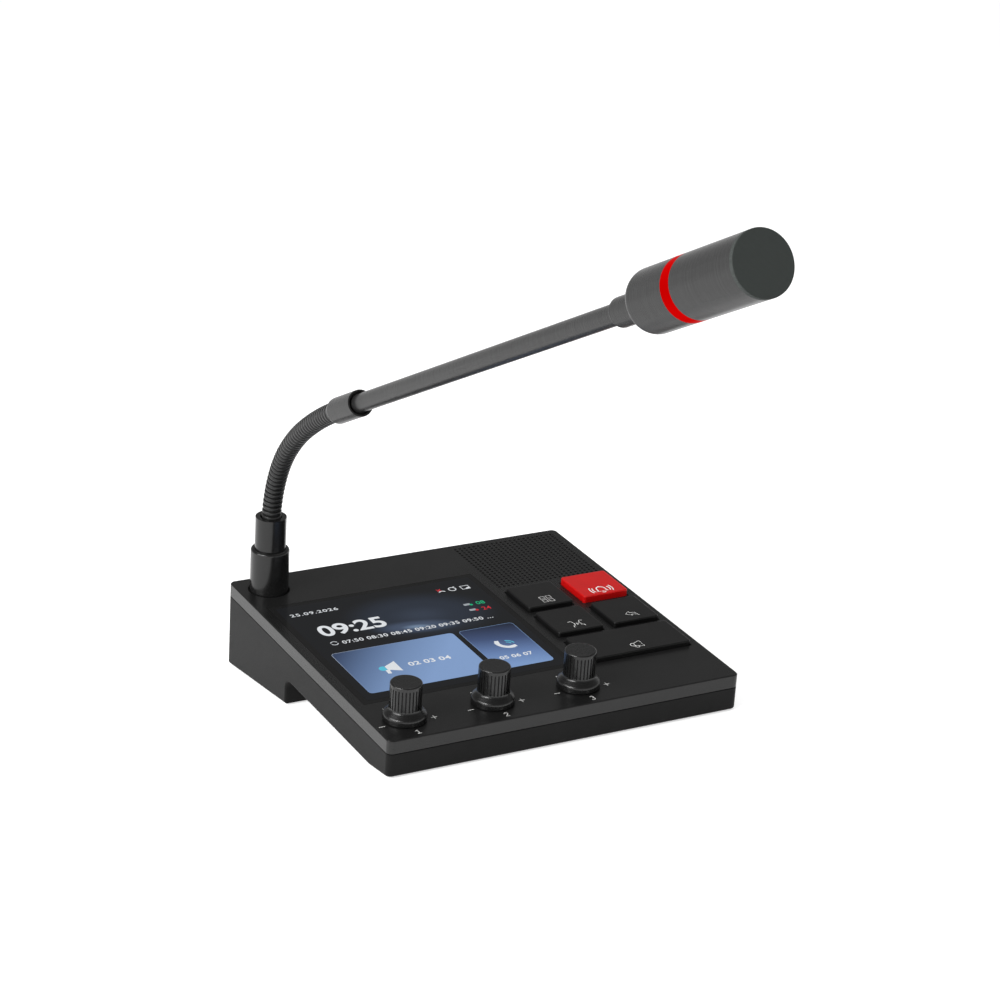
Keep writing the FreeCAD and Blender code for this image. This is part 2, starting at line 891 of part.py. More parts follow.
# the rear board stands on two posts in the foot
rear_board_top = -z.rear_board_depth
rear_board_bottom = rear_board_top - z.board_thickness
rear_board_front = z.case_length - z.rear_board_front_setback
rear_board_back = inner_rear - z.hole_gap
rear_post_y = rear_board_front + z.rear_post_radius + z.rear_post_front
rear_post_out = z.rear_board_width / 2 - z.rear_post_radius - z.rear_post_side
REAR_POSTS = [
    (rear_board_x - rear_post_out, rear_post_y),
    (rear_board_x + rear_post_out, rear_post_y),
]
rear_post_drop = rear_board_bottom - sole(rear_post_y) - z.case_wall / 2
case_posts(REAR_POSTS, z.rear_post_radius, rear_board_bottom, rear_post_drop)
rear_bores = new_sketch(case, "XY_Plane", (0, 0, rear_board_bottom))
for post_x, post_y in REAR_POSTS:
    add_circle(rear_bores, post_x, post_y, small_bore)
pocket(case, rear_bores, z.small_screw_reach - z.board_thickness + z.rear_bore_spare)

# openings in the rear wall for the jacks
network_z = rear_board_top + z.network_height / 2
power_z = rear_board_top + z.power_radius
audio_z = rear_board_top + z.audio_radius
jacks = new_sketch(case, "XZ_Plane", (0, 0, -z.case_length))
add_rectangle(
    jacks,
    network_x,
    network_z,
    z.network_width + z.jack_gap * 2,
    z.network_height + z.jack_gap * 2,
)
add_circle(jacks, power_x, power_z, z.power_radius + z.jack_gap)
add_circle(jacks, audio_x, audio_z, z.audio_radius + z.jack_gap)
pocket(case, jacks, z.case_wall * 1.5, up=True)

# recesses for the two rubber feet, in the plane of the underside
strip_y = z.strip_setback
for foot_y, foot_long, foot_across in (
    (strip_y, z.strip_length, z.strip_width),
    (foot_mid, z.rear_pad_length, z.rear_pad_width),
):
    recess = new_sketch(case, "XY_Plane", (0, foot_y, sole(foot_y)), tilt=-z.slope)
    add_rectangle(recess, 0, 0, foot_long + z.pad_gap * 2, foot_across + z.pad_gap * 2)
    pocket(case, recess, z.pad_recess, up=True)

# two bosses on the floor hold the ballast plate
floor_z = z.pad_projection + z.case_wall
BALLAST_SCREWS = [
    (z.ballast_x - z.ballast_screw_spacing / 2, z.ballast_screw_y),
    (z.ballast_x + z.ballast_screw_spacing / 2, z.ballast_screw_y),
]
for post_kind in ("boss", "bore"):
    seat_lift = z.case_wall if post_kind == "boss" else z.case_wall + z.ballast_thickness
    level_y = foot_mid + seat_lift * sin(z.slope)
    level_z = sole(foot_mid) + seat_lift * cos(z.slope)
    level = new_sketch(case, "XY_Plane", (0, level_y, level_z), tilt=-z.slope)
    for post_x, post_y in BALLAST_SCREWS:
        if post_kind == "boss":
            add_circle(level, post_x, post_y, z.ballast_boss_radius)
        else:
            add_circle(level, post_x, post_y, z.screw_radius + z.thread_gap)
    if post_kind == "boss":
        pad(case, level, z.ballast_thickness - z.hole_gap)
    else:
        pocket(case, level, z.ballast_thickness)
place(case, "panel")
as_node(case, "lower_case")

# rubber feet and ballast plate lie level, in the world frame
strip_world_y = panel_y + strip_y * cos(z.slope) - sole(strip_y) * sin(z.slope)
pad_height = z.pad_projection + z.pad_recess
front_foot = block("FrontFoot", z.strip_length, z.strip_width, pad_height, y=strip_world_y)
place(front_foot, "world")
as_node(front_foot, "front_foot")
rear_foot = block("RearFoot", z.rear_pad_length, z.rear_pad_width, pad_height)
place(rear_foot, "world")
as_node(rear_foot, "rear_foot")
ballast_y = z.ballast_front + z.ballast_length / 2
ballast = block(
    "BallastPlate",
    z.ballast_width,
    z.ballast_length,
    z.ballast_thickness,
    z.ballast_x,
    ballast_y,
    floor_z,
)
ballast_holes = new_sketch(ballast, "XY_Plane", (0, 0, floor_z))
for post_x, post_y in BALLAST_SCREWS:
    add_circle(ballast_holes, post_x, post_y, z.ballast_boss_radius + z.hole_gap)
pocket(ballast, ballast_holes, z.ballast_thickness, up=True)
place(ballast, "world")
as_node(ballast, "ballast_plate")

# display glass, display module and boards
glass = block(
    "DisplayGlass",
    z.window_width - z.glass_gap * 2,
    z.window_length - z.glass_gap * 2,
    z.glass_thickness,
    window_x,
    window_y,
    glass_bottom,
)
place(glass, "panel")
as_node(glass, "display_glass")
display = block(
    "DisplayModule",
    display_width,
    display_length,
    z.display_thickness,
    window_x,
    window_y,
    main_board_top,
)
place(display, "panel")
as_node(display, "display_module")


def drilled_board(name, label, across, along, x, y, top, holes, hole_radius):
    board = block(name, across, along, z.board_thickness, x, y, top - z.board_thickness)
    drill = new_sketch(board, "XY_Plane", (0, 0, top))
    for hole_x, hole_y in holes:
        add_circle(drill, hole_x, hole_y, hole_radius)
    pocket(board, drill, z.board_thickness)
    place(board, "panel")
    return as_node(board, label)


screw_pass = z.small_screw_radius + z.hole_gap
drilled_board(
    "MainBoard",
    "main_board",
    main_board_width,
    main_board_length,
    window_x,
    window_y,
    main_board_top,
    MAIN_POSTS,
    screw_pass,
)
key_board_width = long_key_width + z.key_board_side * 2
key_board_length = half_block_length * 2 + z.key_post_outset * 2 + z.key_post_radius * 2
drilled_board(
    "KeyBoard",
    "key_board",
    key_board_width,
    key_board_length,
    key_block_x,
    middle_row_y,
    key_board_top,
    KEY_POSTS,
    screw_pass,
)
drilled_board(
    "RearBoard",
    "rear_board",
    z.rear_board_width,
    rear_board_back - rear_board_front,
    rear_board_x,
    (rear_board_back + rear_board_front) / 2,
    rear_board_top,
    REAR_POSTS,
    screw_pass,
)
dial_board_top = plate_bottom - z.encoder_height
drilled_board(
    "DialBoard",
    "dial_board",
    z.dial_pitch * 2 + z.dial_board_margin * 2,
    z.encoder_width + 2,
    DIALS[1],
    z.dial_y,
    dial_board_top,
    [(first_gap_x, z.dial_y), (second_gap_x, z.dial_y)],
    screw_pass,
)

# key switches: housings with a bore in which the key's plunger slides
switch_shapes = []
for switch_x, switch_y in SWITCHES:
    corner = Vector(
        (switch_x - z.switch_width / 2).value,
        (switch_y - z.switch_width / 2).value,
        key_board_top.value,
    )
    housing = Part.makeBox(
        z.switch_width.value, z.switch_width.value, z.switch_height.value, corner
    )
    bore = Part.makeCylinder(
        (z.plunger_radius + z.plunger_gap).value,
        z.switch_bore_depth.value,
        Vector(
            switch_x.value,
            switch_y.value,
            (key_board_top + z.switch_height - z.switch_bore_depth).value,
        ),
    )
    switch_shapes.append(housing.cut(bore))
shape_node("key_switches", Part.makeCompound(switch_shapes), "panel")

# keys: cap through the panel, retaining flange under it and plungers below
for key_name, (key_x, key_y, key_across, key_rise) in KEYS.items():
    key = new_body("Key" + key_name[4:].title())
    flange_top = plate_bottom - z.key_play
    cap = new_sketch(key, "XY_Plane", (0, 0, flange_top))
    add_rectangle(cap, key_x, key_y, key_across, z.key_length)
    pad(key, cap, key_rise - flange_top)
    fillet(key, z.key_corner, is_upright)

    def on_key_top(edge, rise=key_rise):
        return all(near(vertex.Point.z, rise) for vertex in edge.Vertexes)

    fillet(key, z.key_edge, on_key_top)
    flange = new_sketch(key, "XY_Plane", (0, 0, flange_top))
    grow = z.key_flange * 2
    add_rectangle(flange, key_x, key_y, key_across + grow, z.key_length + grow)
    pad(key, flange, z.key_flange_thickness, down=True)
    plungers = new_sketch(key, "XY_Plane", (0, 0, flange_top - z.key_flange_thickness))
    if key_name == "key_page":
        add_circle(plungers, left_column_x, key_y, z.plunger_radius)
        add_circle(plungers, right_column_x, key_y, z.plunger_radius)
    else:
        add_circle(plungers, key_x, key_y, z.plunger_radius)
    pad(key, plungers, z.plunger_length, down=True)
    place(key, "panel")
    as_node(key, key_name)

# encoders under the panel, their nuts on it, and the three shafts with their knobs
chamber_bottom = dial_board_top + z.encoder_floor
encoder_shapes = []
nut_shapes = []
for dial_x in DIALS:
    corner = Vector(
        (dial_x - z.encoder_width / 2).value,
        (z.dial_y - z.encoder_width / 2).value,
        dial_board_top.value,
    )
    encoder = Part.makeBox(
        z.encoder_width.value, z.encoder_width.value, z.encoder_height.value, corner
    )
    centre = Vector(dial_x.value, z.dial_y.value, 0)
    bushing = Part.makeCylinder(
        z.bushing_radius.value,
        (z.bushing_height - plate_bottom).value,
        centre + Vector(0, 0, plate_bottom.value),
    )
    bore = Part.makeCylinder(
        (z.shaft_radius + z.shaft_gap).value,
        (z.encoder_height + z.shaft_top).value,
        centre + Vector(0, 0, chamber_bottom.value),
    )
    chamber = Part.makeCylinder(
        (z.shaft_disc_radius + z.hole_gap).value,
        z.encoder_height.value / 2,
        centre + Vector(0, 0, chamber_bottom.value),
    )
    encoder_shapes.append(encoder.fuse(bushing).cut(bore).cut(chamber))
    corners = []
    for i in range(7):
        angle = math.radians(60 * i)
        reach = z.nut_radius.value
        corners.append(centre + Vector(reach * math.cos(angle), reach * math.sin(angle), 0))
    nut = Part.Face(Part.makePolygon(corners)).extrude(Vector(0, 0, z.nut_height.value))
    nut_bore = Part.makeCylinder(
        (z.bushing_radius + z.thread_gap).value, z.nut_height.value, centre
    )
    nut_shapes.append(nut.cut(nut_bore))
shape_node("dial_encoders", Part.makeCompound(encoder_shapes), "panel")
shape_node("dial_nuts", Part.makeCompound(nut_shapes), "panel")

chamber_height = z.encoder_height / 2
disc_bottom = chamber_bottom + z.hole_gap
disc_top = chamber_bottom + chamber_height - z.hole_gap
nut_pocket_top = z.nut_height + z.nut_pocket_gap
bushing_pocket_top = z.bushing_height + z.nut_pocket_gap
knob_bore_top = z.shaft_top + z.hole_gap
for number, dial_x in enumerate(DIALS, 1):
    shaft = turned(
        f"Shaft{number}",
        [
            (0, disc_bottom),
            (z.shaft_disc_radius, disc_bottom),
            (z.shaft_disc_radius, disc_top),
            (z.shaft_radius, disc_top),
            (z.shaft_radius, z.shaft_top),
            (0, z.shaft_top),
        ],
    )
    flat_depth = z.shaft_top - bushing_pocket_top
    flat = new_sketch(shaft, "XY_Plane", (0, 0, z.shaft_top))
    add_rectangle(
        flat, z.shaft_radius * 2 - z.shaft_flat, 0, z.shaft_radius * 2, z.shaft_radius * 3
    )
    pocket(shaft, flat, flat_depth)
    place(shaft, "panel", x=dial_x, y=z.dial_y)
    as_node(shaft, f"shaft_{number}")

    knob = turned(
        f"Knob{number}",
        [
            (z.nut_radius + z.nut_pocket_gap, z.skirt_lift),
            (z.skirt_radius, z.skirt_lift),
            (z.skirt_radius, z.skirt_height),
            (z.knob_radius, z.knob_foot_height),
            (z.knob_radius, z.knob_height),
            (0, z.knob_height),
            (0, knob_bore_top),
            (z.shaft_radius + z.knob_fit, knob_bore_top),
            (z.shaft_radius + z.knob_fit, bushing_pocket_top),
            (z.bushing_radius + z.nut_pocket_gap, bushing_pocket_top),
            (z.bushing_radius + z.nut_pocket_gap, nut_pocket_top),
            (z.nut_radius + z.nut_pocket_gap, nut_pocket_top),
        ],
    )
    fillet(knob, z.knob_top_round, ring_at(z.knob_radius, z.knob_height))
    fillet(knob, z.skirt_round, ring_at(z.skirt_radius, z.skirt_height))
    fillet(knob, z.knob_foot_fillet, ring_at(z.knob_radius, z.knob_foot_height))
    flute = knob.newObject("PartDesign::SubtractiveBox", f"Knob{number}_flute")
    plane = [item for item in knob.Origin.OriginFeatures if item.Role == "XY_Plane"][0]
    flute.AttachmentSupport = [(plane, "")]
    flute.MapMode = "FlatFace"
    flute.setExpression("Length", (z.flute_depth * 3).text)
    flute.setExpression("Width", z.flute_width.text)
    flute.setExpression("Height", (z.flute_end - z.flute_start).text)
    flute.setExpression(".AttachmentOffset.Base.x", (z.knob_radius - z.flute_depth).text)
    flute.setExpression(".AttachmentOffset.Base.y", (-z.flute_width / 2).text)
    flute.setExpression(".AttachmentOffset.Base.z", z.flute_start.text)
    doc.recompute()
    flutes = knob.newObject("PartDesign::PolarPattern", f"Knob{number}_flutes")
    flutes.Originals = [flute]
    axis = [item for item in knob.Origin.OriginFeatures if item.Role == "Z_Axis"][0]
    flutes.Axis = (axis, [""])
    flutes.Angle = 360
    flutes.setExpression("Occurrences", z.flute_count.text)
    knob.Tip = flutes
    place(knob, "panel", x=dial_x, y=z.dial_y)
    as_node(knob, f"knob_{number}")

# speaker behind the holes: gasket, basket, cone and magnet
gasket = turned(
    "SpeakerGasket",
    [
        (z.speaker_radius - z.gasket_width, basket_seat),
        (z.speaker_radius, basket_seat),
        (z.speaker_radius, plate_bottom),
        (z.speaker_radius - z.gasket_width, plate_bottom),
    ],
)
place(gasket, "panel", x=speaker_x, y=speaker_y)
as_node(gasket, "speaker_gasket")
basket_bottom = basket_seat - z.basket_depth
cup_radius = z.speaker_radius - z.gasket_width
basket = turned(
    "SpeakerBasket",
    [
        (z.speaker_radius, basket_seat),
        (z.speaker_radius, clamp_level),
        (cup_radius + z.basket_wall, clamp_level),
        (z.magnet_radius, basket_bottom),
        (z.lead_radius, basket_bottom),
        (z.lead_radius, basket_bottom + z.basket_wall),
        (z.magnet_radius - z.basket_wall, basket_bottom + z.basket_wall),
        (cup_radius, basket_seat),
    ],
)
place(basket, "panel", x=speaker_x, y=speaker_y)
as_node(basket, "speaker_basket")
cone_edge = cup_radius - z.cone_edge_gap
cone_top = basket_seat - z.cone_drop
cone_low = cone_top - z.cone_depth
cap_radius = z.magnet_radius / 2
cone = turned(
    "SpeakerCone",
    [
        (0, cone_low),
        (cap_radius, cone_low),
        (cone_edge, cone_top - z.cone_thickness),
        (cone_edge, cone_top),
        (cap_radius, cone_low + z.cone_thickness),
        (0, cone_low + z.cap_crown),
    ],
)
place(cone, "panel", x=speaker_x, y=speaker_y)
as_node(cone, "speaker_cone")
magnet = turned(
    "SpeakerMagnet",
    [
        (0, basket_bottom - z.magnet_height),
        (z.magnet_radius, basket_bottom - z.magnet_height),
        (z.magnet_radius, basket_bottom),
        (0, basket_bottom),
    ],
)
place(magnet, "panel", x=speaker_x, y=speaker_y)
as_node(magnet, "speaker_magnet")

# microphone socket under the panel, hung from two ears, with three contact pins
socket_bottom = -z.socket_depth
socket_floor_top = socket_bottom + z.socket_floor
socket_bore = z.collar_radius + z.plug_gap
socket = turned(
    "MicSocket",
    [
        (0, socket_bottom),
        (z.socket_radius, socket_bottom),
        (z.socket_radius, plate_bottom),
        (socket_bore, plate_bottom),
        (socket_bore, socket_floor_top),
        (0, socket_floor_top),
    ],
)
ears = new_sketch(socket, "XY_Plane", (0, 0, ear_top))
for ear_x, ear_y in EARS:
    add_circle(ears, ear_x, ear_y, z.ear_radius)
pad(socket, ears, z.ear_thickness, down=True)
web_reach = (z.socket_radius + socket_bore) / 2
webs = new_sketch(socket, "XY_Plane", (0, 0, ear_top))
add_rectangle(
    webs, (web_reach + z.ear_offset) / 2, 0, z.ear_offset - web_reach, z.ear_radius * 2 - z.ear_web_step * 2
)
pad(socket, webs, z.ear_thickness, down=True)
slant = z.ear_radius * cos(45) - z.ear_web_step
near_x = web_reach * cos(45)
diagonal_web = new_sketch(socket, "XY_Plane", (0, 0, ear_top))
add_outline(
    diagonal_web,
    [
        (near_x - slant, -near_x - slant),
        (near_x + slant, -near_x + slant),
        (ear_diagonal + slant, -ear_diagonal + slant),
        (ear_diagonal - slant, -ear_diagonal - slant),
    ],
)
pad(socket, diagonal_web, z.ear_thickness, down=True)
ear_holes = new_sketch(socket, "XY_Plane", (0, 0, ear_top))
for ear_x, ear_y in EARS:
    add_circle(ear_holes, ear_x, ear_y, screw_pass)
pocket(socket, ear_holes, z.ear_thickness)
PINS = [
    (z.pin_circle_radius * cos(90 + 120 * i), z.pin_circle_radius * sin(90 + 120 * i))
    for i in range(3)
]
pin_holes = new_sketch(socket, "XY_Plane", (0, 0, socket_floor_top))
for pin_x, pin_y in PINS:
    add_circle(pin_holes, pin_x, pin_y, z.pin_radius + z.thread_gap)
pocket(socket, pin_holes, z.socket_floor)
place(socket, "socket")
as_node(socket, "mic_socket")
pin_bottom = socket_bottom - z.pin_tail
pin_shapes = [
    Part.makeCylinder(
        z.pin_radius.value,
        z.pin_length.value,
        Vector(pin_x.value, pin_y.value, pin_bottom.value),
    )
    for pin_x, pin_y in PINS
]
shape_node("socket_pins", Part.makeCompound(pin_shapes), "socket")

# plug: shell that stands out of the panel as the lower collar, and the insert round the pins
plug_bottom = -z.plug_depth
shell_inner = z.collar_radius - z.collar_wall
cap_bottom = z.collar_height - z.collar_cap
spigot_hole = z.spigot_radius + z.swivel_gap
plug_shell = turned(
    "PlugShell",
    [
        (shell_inner, plug_bottom),
        (z.collar_radius, plug_bottom),
        (z.collar_radius, z.collar_height),
        (spigot_hole, z.collar_height),
        (spigot_hole, cap_bottom),
        (shell_inner, cap_bottom),
    ],
)
fillet(plug_shell, z.collar_round, ring_at(z.collar_radius, z.collar_height))
place(plug_shell, "socket")
as_node(plug_shell, "plug_shell")
insert_bottom = plug_bottom + z.insert_lift
insert = turned(
    "PlugInsert",
    [
        (0, insert_bottom),
        (shell_inner - z.thread_gap, insert_bottom),
        (shell_inner - z.thread_gap, z.insert_top),
        (0, z.insert_top),
    ],
)
pin_top = pin_bottom + z.pin_length
insert_bores = new_sketch(insert, "XY_Plane", (0, 0, insert_bottom))
for pin_x, pin_y in PINS:
    add_circle(insert_bores, pin_x, pin_y, z.pin_radius + z.hole_gap)
pocket(insert, insert_bores, pin_top - insert_bottom + z.pin_end_gap, up=True)
place(insert, "socket")
as_node(insert, "plug_insert")

# upper collar: it turns in the lower one on a spigot held by a clip, and holds the gooseneck
sleeve_bottom = z.collar_height + z.sleeve_lift
neck_seat = z.neck_start - z.neck_radius * 2
clip_top = cap_bottom - z.sleeve_lift
clip_bottom = clip_top - z.clip_thickness
spigot_bottom = clip_bottom - z.spigot_tail
lead_bore = z.lead_radius + z.lead_gap
cup_radius_mic = z.sleeve_radius - z.cup_rim
cup_floor = z.sleeve_top - z.cup_depth
groove_bottom = z.spigot_radius - z.clip_groove_depth
neck_hole = z.neck_radius + z.neck_fit
sleeve = turned(
    "NeckSleeve",
    [
        (lead_bore, spigot_bottom),
        (z.spigot_radius, spigot_bottom),
        (z.spigot_radius, clip_bottom - z.thread_gap),
        (groove_bottom, clip_bottom - z.thread_gap),
        (groove_bottom, clip_top + z.thread_gap),
        (z.spigot_radius, clip_top + z.thread_gap),
        (z.spigot_radius, sleeve_bottom),
        (z.sleeve_radius, sleeve_bottom),
        (z.sleeve_radius, z.sleeve_top),
        (cup_radius_mic, z.sleeve_top),
        (cup_radius_mic, cup_floor),
        (neck_hole, cup_floor),
        (neck_hole, neck_seat),
        (lead_bore, neck_seat),
    ],
)
place(sleeve, "socket")
as_node(sleeve, "neck_sleeve")
clip = turned(
    "SwivelClip",
    [
        (groove_bottom + z.thread_gap, clip_bottom),
        (z.clip_radius, clip_bottom),
        (z.clip_radius, clip_top),
        (groove_bottom + z.thread_gap, clip_top),
    ],
)
slot = new_sketch(clip, "XY_Plane", (0, 0, clip_top))
add_rectangle(slot, z.clip_radius, 0, z.clip_radius * 2, z.clip_slot)
pocket(clip, slot, z.clip_thickness)
place(clip, "socket")
as_node(clip, "swivel_clip")


def neck_run():
    """The centre line as (length, point, lean) pieces: straight, three arcs, straight."""
    lean = z.slope.value
    forward = Vector(0, -math.sin(math.radians(lean)), math.cos(math.radians(lean)))
    start = Vector(mic_x.value, neck_y.value, neck_z.value)
    tail = z.neck_radius.value * 2
    pieces = [("line", start - forward * tail, lean, tail, 0)]
    point = start
    for bend_radius, bend_angle in NECK_BENDS:
        pieces.append(("arc", point, lean, bend_radius.value, bend_angle.value))
        after = lean + bend_angle.value
        a, b = math.radians(lean), math.radians(after)
        point = point + Vector(
            0,
            -bend_radius.value * (math.cos(a) - math.cos(b)),
            bend_radius.value * (math.sin(b) - math.sin(a)),
        )
        lean = after
    pieces.append(("line", point, lean, tail, 0))
    return pieces


def run_length(pieces):
    total = 0
    for kind, _, _, size, angle in pieces:
        total += size if kind == "line" else size * math.radians(angle)
    return total


def run_point(pieces, distance):
    """The point and the direction at a distance along the centre line."""
    for number, (kind, point, lean, size, angle) in enumerate(pieces):
        length = size if kind == "line" else size * math.radians(angle)
        if distance <= length or number == len(pieces) - 1:
            break
        distance -= length
    a = math.radians(lean)
    if kind == "line":
        heading = Vector(0, -math.sin(a), math.cos(a))
        return point + heading * distance, heading
    b = a + distance / size
    moved = Vector(0, -size * (math.cos(a) - math.cos(b)), size * (math.sin(b) - math.sin(a)))
    return point + moved, Vector(0, -math.sin(b), math.cos(b))


def ring_wire(point, heading, radius):
    """A circle square to the heading, its seam on a steady X axis."""
    edge = Part.makeCircle(radius)
    edge.Placement = Placement(point, Rotation(Vector(1, 0, 0), Vector(), heading, "ZXY"))
    return Part.Wire([edge])


# ribbed gooseneck: each rib a crest between two slopes, lofted ring by ring, with its bore
neck_path = neck_run()
neck_length = run_length(neck_path)
tail_length = z.neck_radius.value * 2
rib_count = round((neck_length - 2 * tail_length) / z.rib_pitch.value)
first_rib = (neck_length - rib_count * z.rib_pitch.value) / 2
root_radius = z.neck_radius.value - z.rib_depth.value
slope_length = (z.rib_pitch.value - z.rib_crest.value - z.rib_groove.value) / 2
stations = [(0, z.neck_radius.value), (first_rib - slope_length, z.neck_radius.value)]
for rib in range(rib_count):
    start = first_rib + rib * z.rib_pitch.value
    stations.append((start, root_radius))
    stations.append((start + z.rib_groove.value, root_radius))
    stations.append((start + z.rib_groove.value + slope_length, z.neck_radius.value))
    stations.append((start + z.rib_pitch.value - slope_length, z.neck_radius.value))
stations.append((neck_length, z.neck_radius.value))
rings = []
for distance, radius in stations:
    point, heading = run_point(neck_path, distance)
    rings.append(ring_wire(point, heading, radius))
neck_outer = Part.makeLoft(rings, True, True)


def path_wire(pieces):
    edges = []
    for kind, point, lean, size, angle in pieces:
        a = math.radians(lean)
        heading = Vector(0, -math.sin(a), math.cos(a))
        if kind == "line":
            edges.append(Part.LineSegment(point, point + heading * size).toShape())
            continue
        spots = [point]
        for share in (0.5, 1):
            b = a + math.radians(angle) * share
            spots.append(
                point
                + Vector(
                    0,
                    -size * (math.cos(a) - math.cos(b)),
                    size * (math.sin(b) - math.sin(a)),
                )
            )
        edges.append(Part.Arc(*spots).toShape())
    return Part.Wire(edges)


def tube(pieces, radius):
    """A round rod along straight runs and tangent arcs."""
    point, heading = run_point(pieces, 0)
    return path_wire(pieces).makePipeShell([ring_wire(point, heading, radius)], True, True)


gooseneck = doc.addObject("Part::Feature", "Gooseneck")
gooseneck.Shape = neck_outer.cut(tube(neck_path, z.neck_bore.value))
gooseneck.Placement = Placement()
as_node(gooseneck, "gooseneck")

# the lead through the gooseneck, from the plug's insert into the stem
lead_path = list(neck_path)
lead_drop = (neck_seat - z.insert_top).value
kind, point, lean, size, angle = lead_path[0]
heading = Vector(0, -math.sin(math.radians(lean)), math.cos(math.radians(lean)))
lead_path[0] = (kind, point - heading * lead_drop, lean, size + lead_drop, 0)
kind, point, lean, size, angle = lead_path[-1]
lead_tail = (z.neck_radius * 2 + z.ferrule_stop).value
lead_path[-1] = (kind, point, lean, lead_tail, 0)
neck_lead = doc.addObject("Part::Feature", "NeckLead")
neck_lead.Shape = tube(lead_path, z.lead_radius.value)
neck_lead.Placement = Placement()
as_node(neck_lead, "neck_lead")

# ferrule that joins the gooseneck to the stem, with an open cup towards the stem
neck_tail = z.neck_radius * 2
stem_start = neck_tail + z.ferrule_stop
stem_hole = z.stem_radius + z.stem_fit
cup_bottom = z.ferrule_length - z.ferrule_cup_depth
ferrule = turned(
    "Ferrule",
    [
        (neck_hole, 0),
        (z.ferrule_tail_radius, 0),
        (z.ferrule_radius, z.ferrule_round),
        (z.ferrule_radius, z.ferrule_length),
        (z.ferrule_cup_radius, z.ferrule_length),
        (z.ferrule_cup_radius, cup_bottom),
        (stem_hole, cup_bottom),
        (stem_hole, stem_start),
        (lead_bore, stem_start),
        (lead_bore, neck_tail),
        (neck_hole, neck_tail),
    ],
)
fillet(ferrule, z.ferrule_fillet, ring_at(z.ferrule_radius, z.ferrule_round))
place(ferrule, "arm")
as_node(ferrule, "ferrule")

# straight stem tube and the lead inside it
stem_bore = z.stem_radius - z.stem_wall
head_floor = z.head_start + z.head_back
stem_end = head_floor + z.stem_nut_height
stem = turned(
    "StemTube",
    [
        (stem_bore, stem_start),
        (z.stem_radius, stem_start),
        (z.stem_radius, stem_end),
        (stem_bore, stem_end),
    ],
)
place(stem, "arm")
as_node(stem, "stem_tube")
board_rear = z.ring_start + z.ring_width + z.ring_lap
lead_start = stem_start + z.lead_end_gap
stem_lead = turned(
    "StemLead",
    [
        (0, lead_start),
        (z.lead_radius, lead_start),
        (z.lead_radius, board_rear),
        (0, board_rear),
    ],
)
place(stem_lead, "arm")
as_node(stem_lead, "stem_lead")

# boot, head shells, light ring and front mesh
boot = turned(
    "HeadBoot",
    [
        (stem_hole, z.boot_start),
        (z.boot_radius, z.boot_start),
        (z.boot_radius, z.head_start),
        (stem_hole, z.head_start),
    ],
)
fillet(boot, z.boot_round, ring_at(z.boot_radius, z.boot_start))
place(boot, "arm")
as_node(boot, "head_boot")
head_bore = z.head_radius - z.head_wall
rear_shell = turned(
    "HeadRearShell",
    [
        (stem_hole, z.head_start),
        (z.head_radius, z.head_start),
        (z.head_radius, z.ring_start),
        (head_bore, z.ring_start),
        (head_bore, head_floor),
        (stem_hole, head_floor),
    ],
)
fillet(rear_shell, z.head_round, ring_at(z.head_radius, z.head_start))
fillet(rear_shell, z.head_round - z.head_wall, ring_at(head_bore, head_floor))
place(rear_shell, "arm")
as_node(rear_shell, "head_rear_shell")
stem_nut = turned(
    "StemNut",
    [
        (stem_hole, head_floor),
        (z.stem_nut_radius, head_floor),
        (z.stem_nut_radius, stem_end - z.stem_nut_setback),
        (stem_hole, stem_end - z.stem_nut_setback),
    ],
)
place(stem_nut, "arm")
as_node(stem_nut, "stem_nut")
ring_end = z.ring_start + z.ring_width
core_outer = head_bore - z.core_gap
core_inner = core_outer - z.ring_core
light_ring = turned(
    "LightRing",
    [
        (core_inner, z.ring_start - z.ring_lap),
        (core_outer, z.ring_start - z.ring_lap),
        (core_outer, z.ring_start),
        (z.head_radius, z.ring_start),
        (z.head_radius, ring_end),
        (core_outer, ring_end),
        (core_outer, board_rear),
        (core_inner, board_rear),
    ],
)
place(light_ring, "arm")
as_node(light_ring, "light_ring")
mesh_seat = z.arm_length - z.mesh_thickness
front_shell = turned(
    "HeadFrontShell",
    [
        (head_bore, ring_end),
        (z.head_radius, ring_end),
        (z.head_radius, mesh_seat),
        (head_bore, mesh_seat),
    ],
)
place(front_shell, "arm")
as_node(front_shell, "head_front_shell")
front_mesh = turned(
    "FrontMesh",
    [
        (core_inner, mesh_seat - z.mesh_spigot),
        (core_outer, mesh_seat - z.mesh_spigot),
        (core_outer, mesh_seat),
        (z.head_radius, mesh_seat),
        (z.head_radius, z.arm_length),
        (0, z.arm_length),
        (0, mesh_seat),
        (core_inner, mesh_seat),
    ],
)
chamfer(front_mesh, z.mesh_chamfer, ring_at(z.head_radius, z.arm_length))
place(front_mesh, "arm")
as_node(front_mesh, "front_mesh")

# inside the head: board with its lights, rubber holder and capsule
head_board = turned(
    "HeadBoard",
    [
        (0, board_rear),
        (core_outer, board_rear),
        (core_outer, board_rear + z.board_thickness),
        (0, board_rear + z.board_thickness),
    ],
)
place(head_board, "arm")
as_node(head_board, "head_board")
led_shapes = []
for i in range(4):
    angle = math.radians(45 + 90 * i)
    half = z.led_size.value / 2
    corner = Vector(
        z.led_radius.value * math.cos(angle) - half,
        z.led_radius.value * math.sin(angle) - half,
        board_rear.value - half,
    )
    led_shapes.append(Part.makeBox(z.led_size.value, z.led_size.value, half, corner))
shape_node("ring_leds", Part.makeCompound(led_shapes), "arm")
capsule_end = z.arm_length - z.capsule_setback
capsule_start = capsule_end - z.capsule_length
holder_start = capsule_start + (z.capsule_length - z.holder_length) / 2
capsule_neck = z.capsule_radius - z.capsule_step
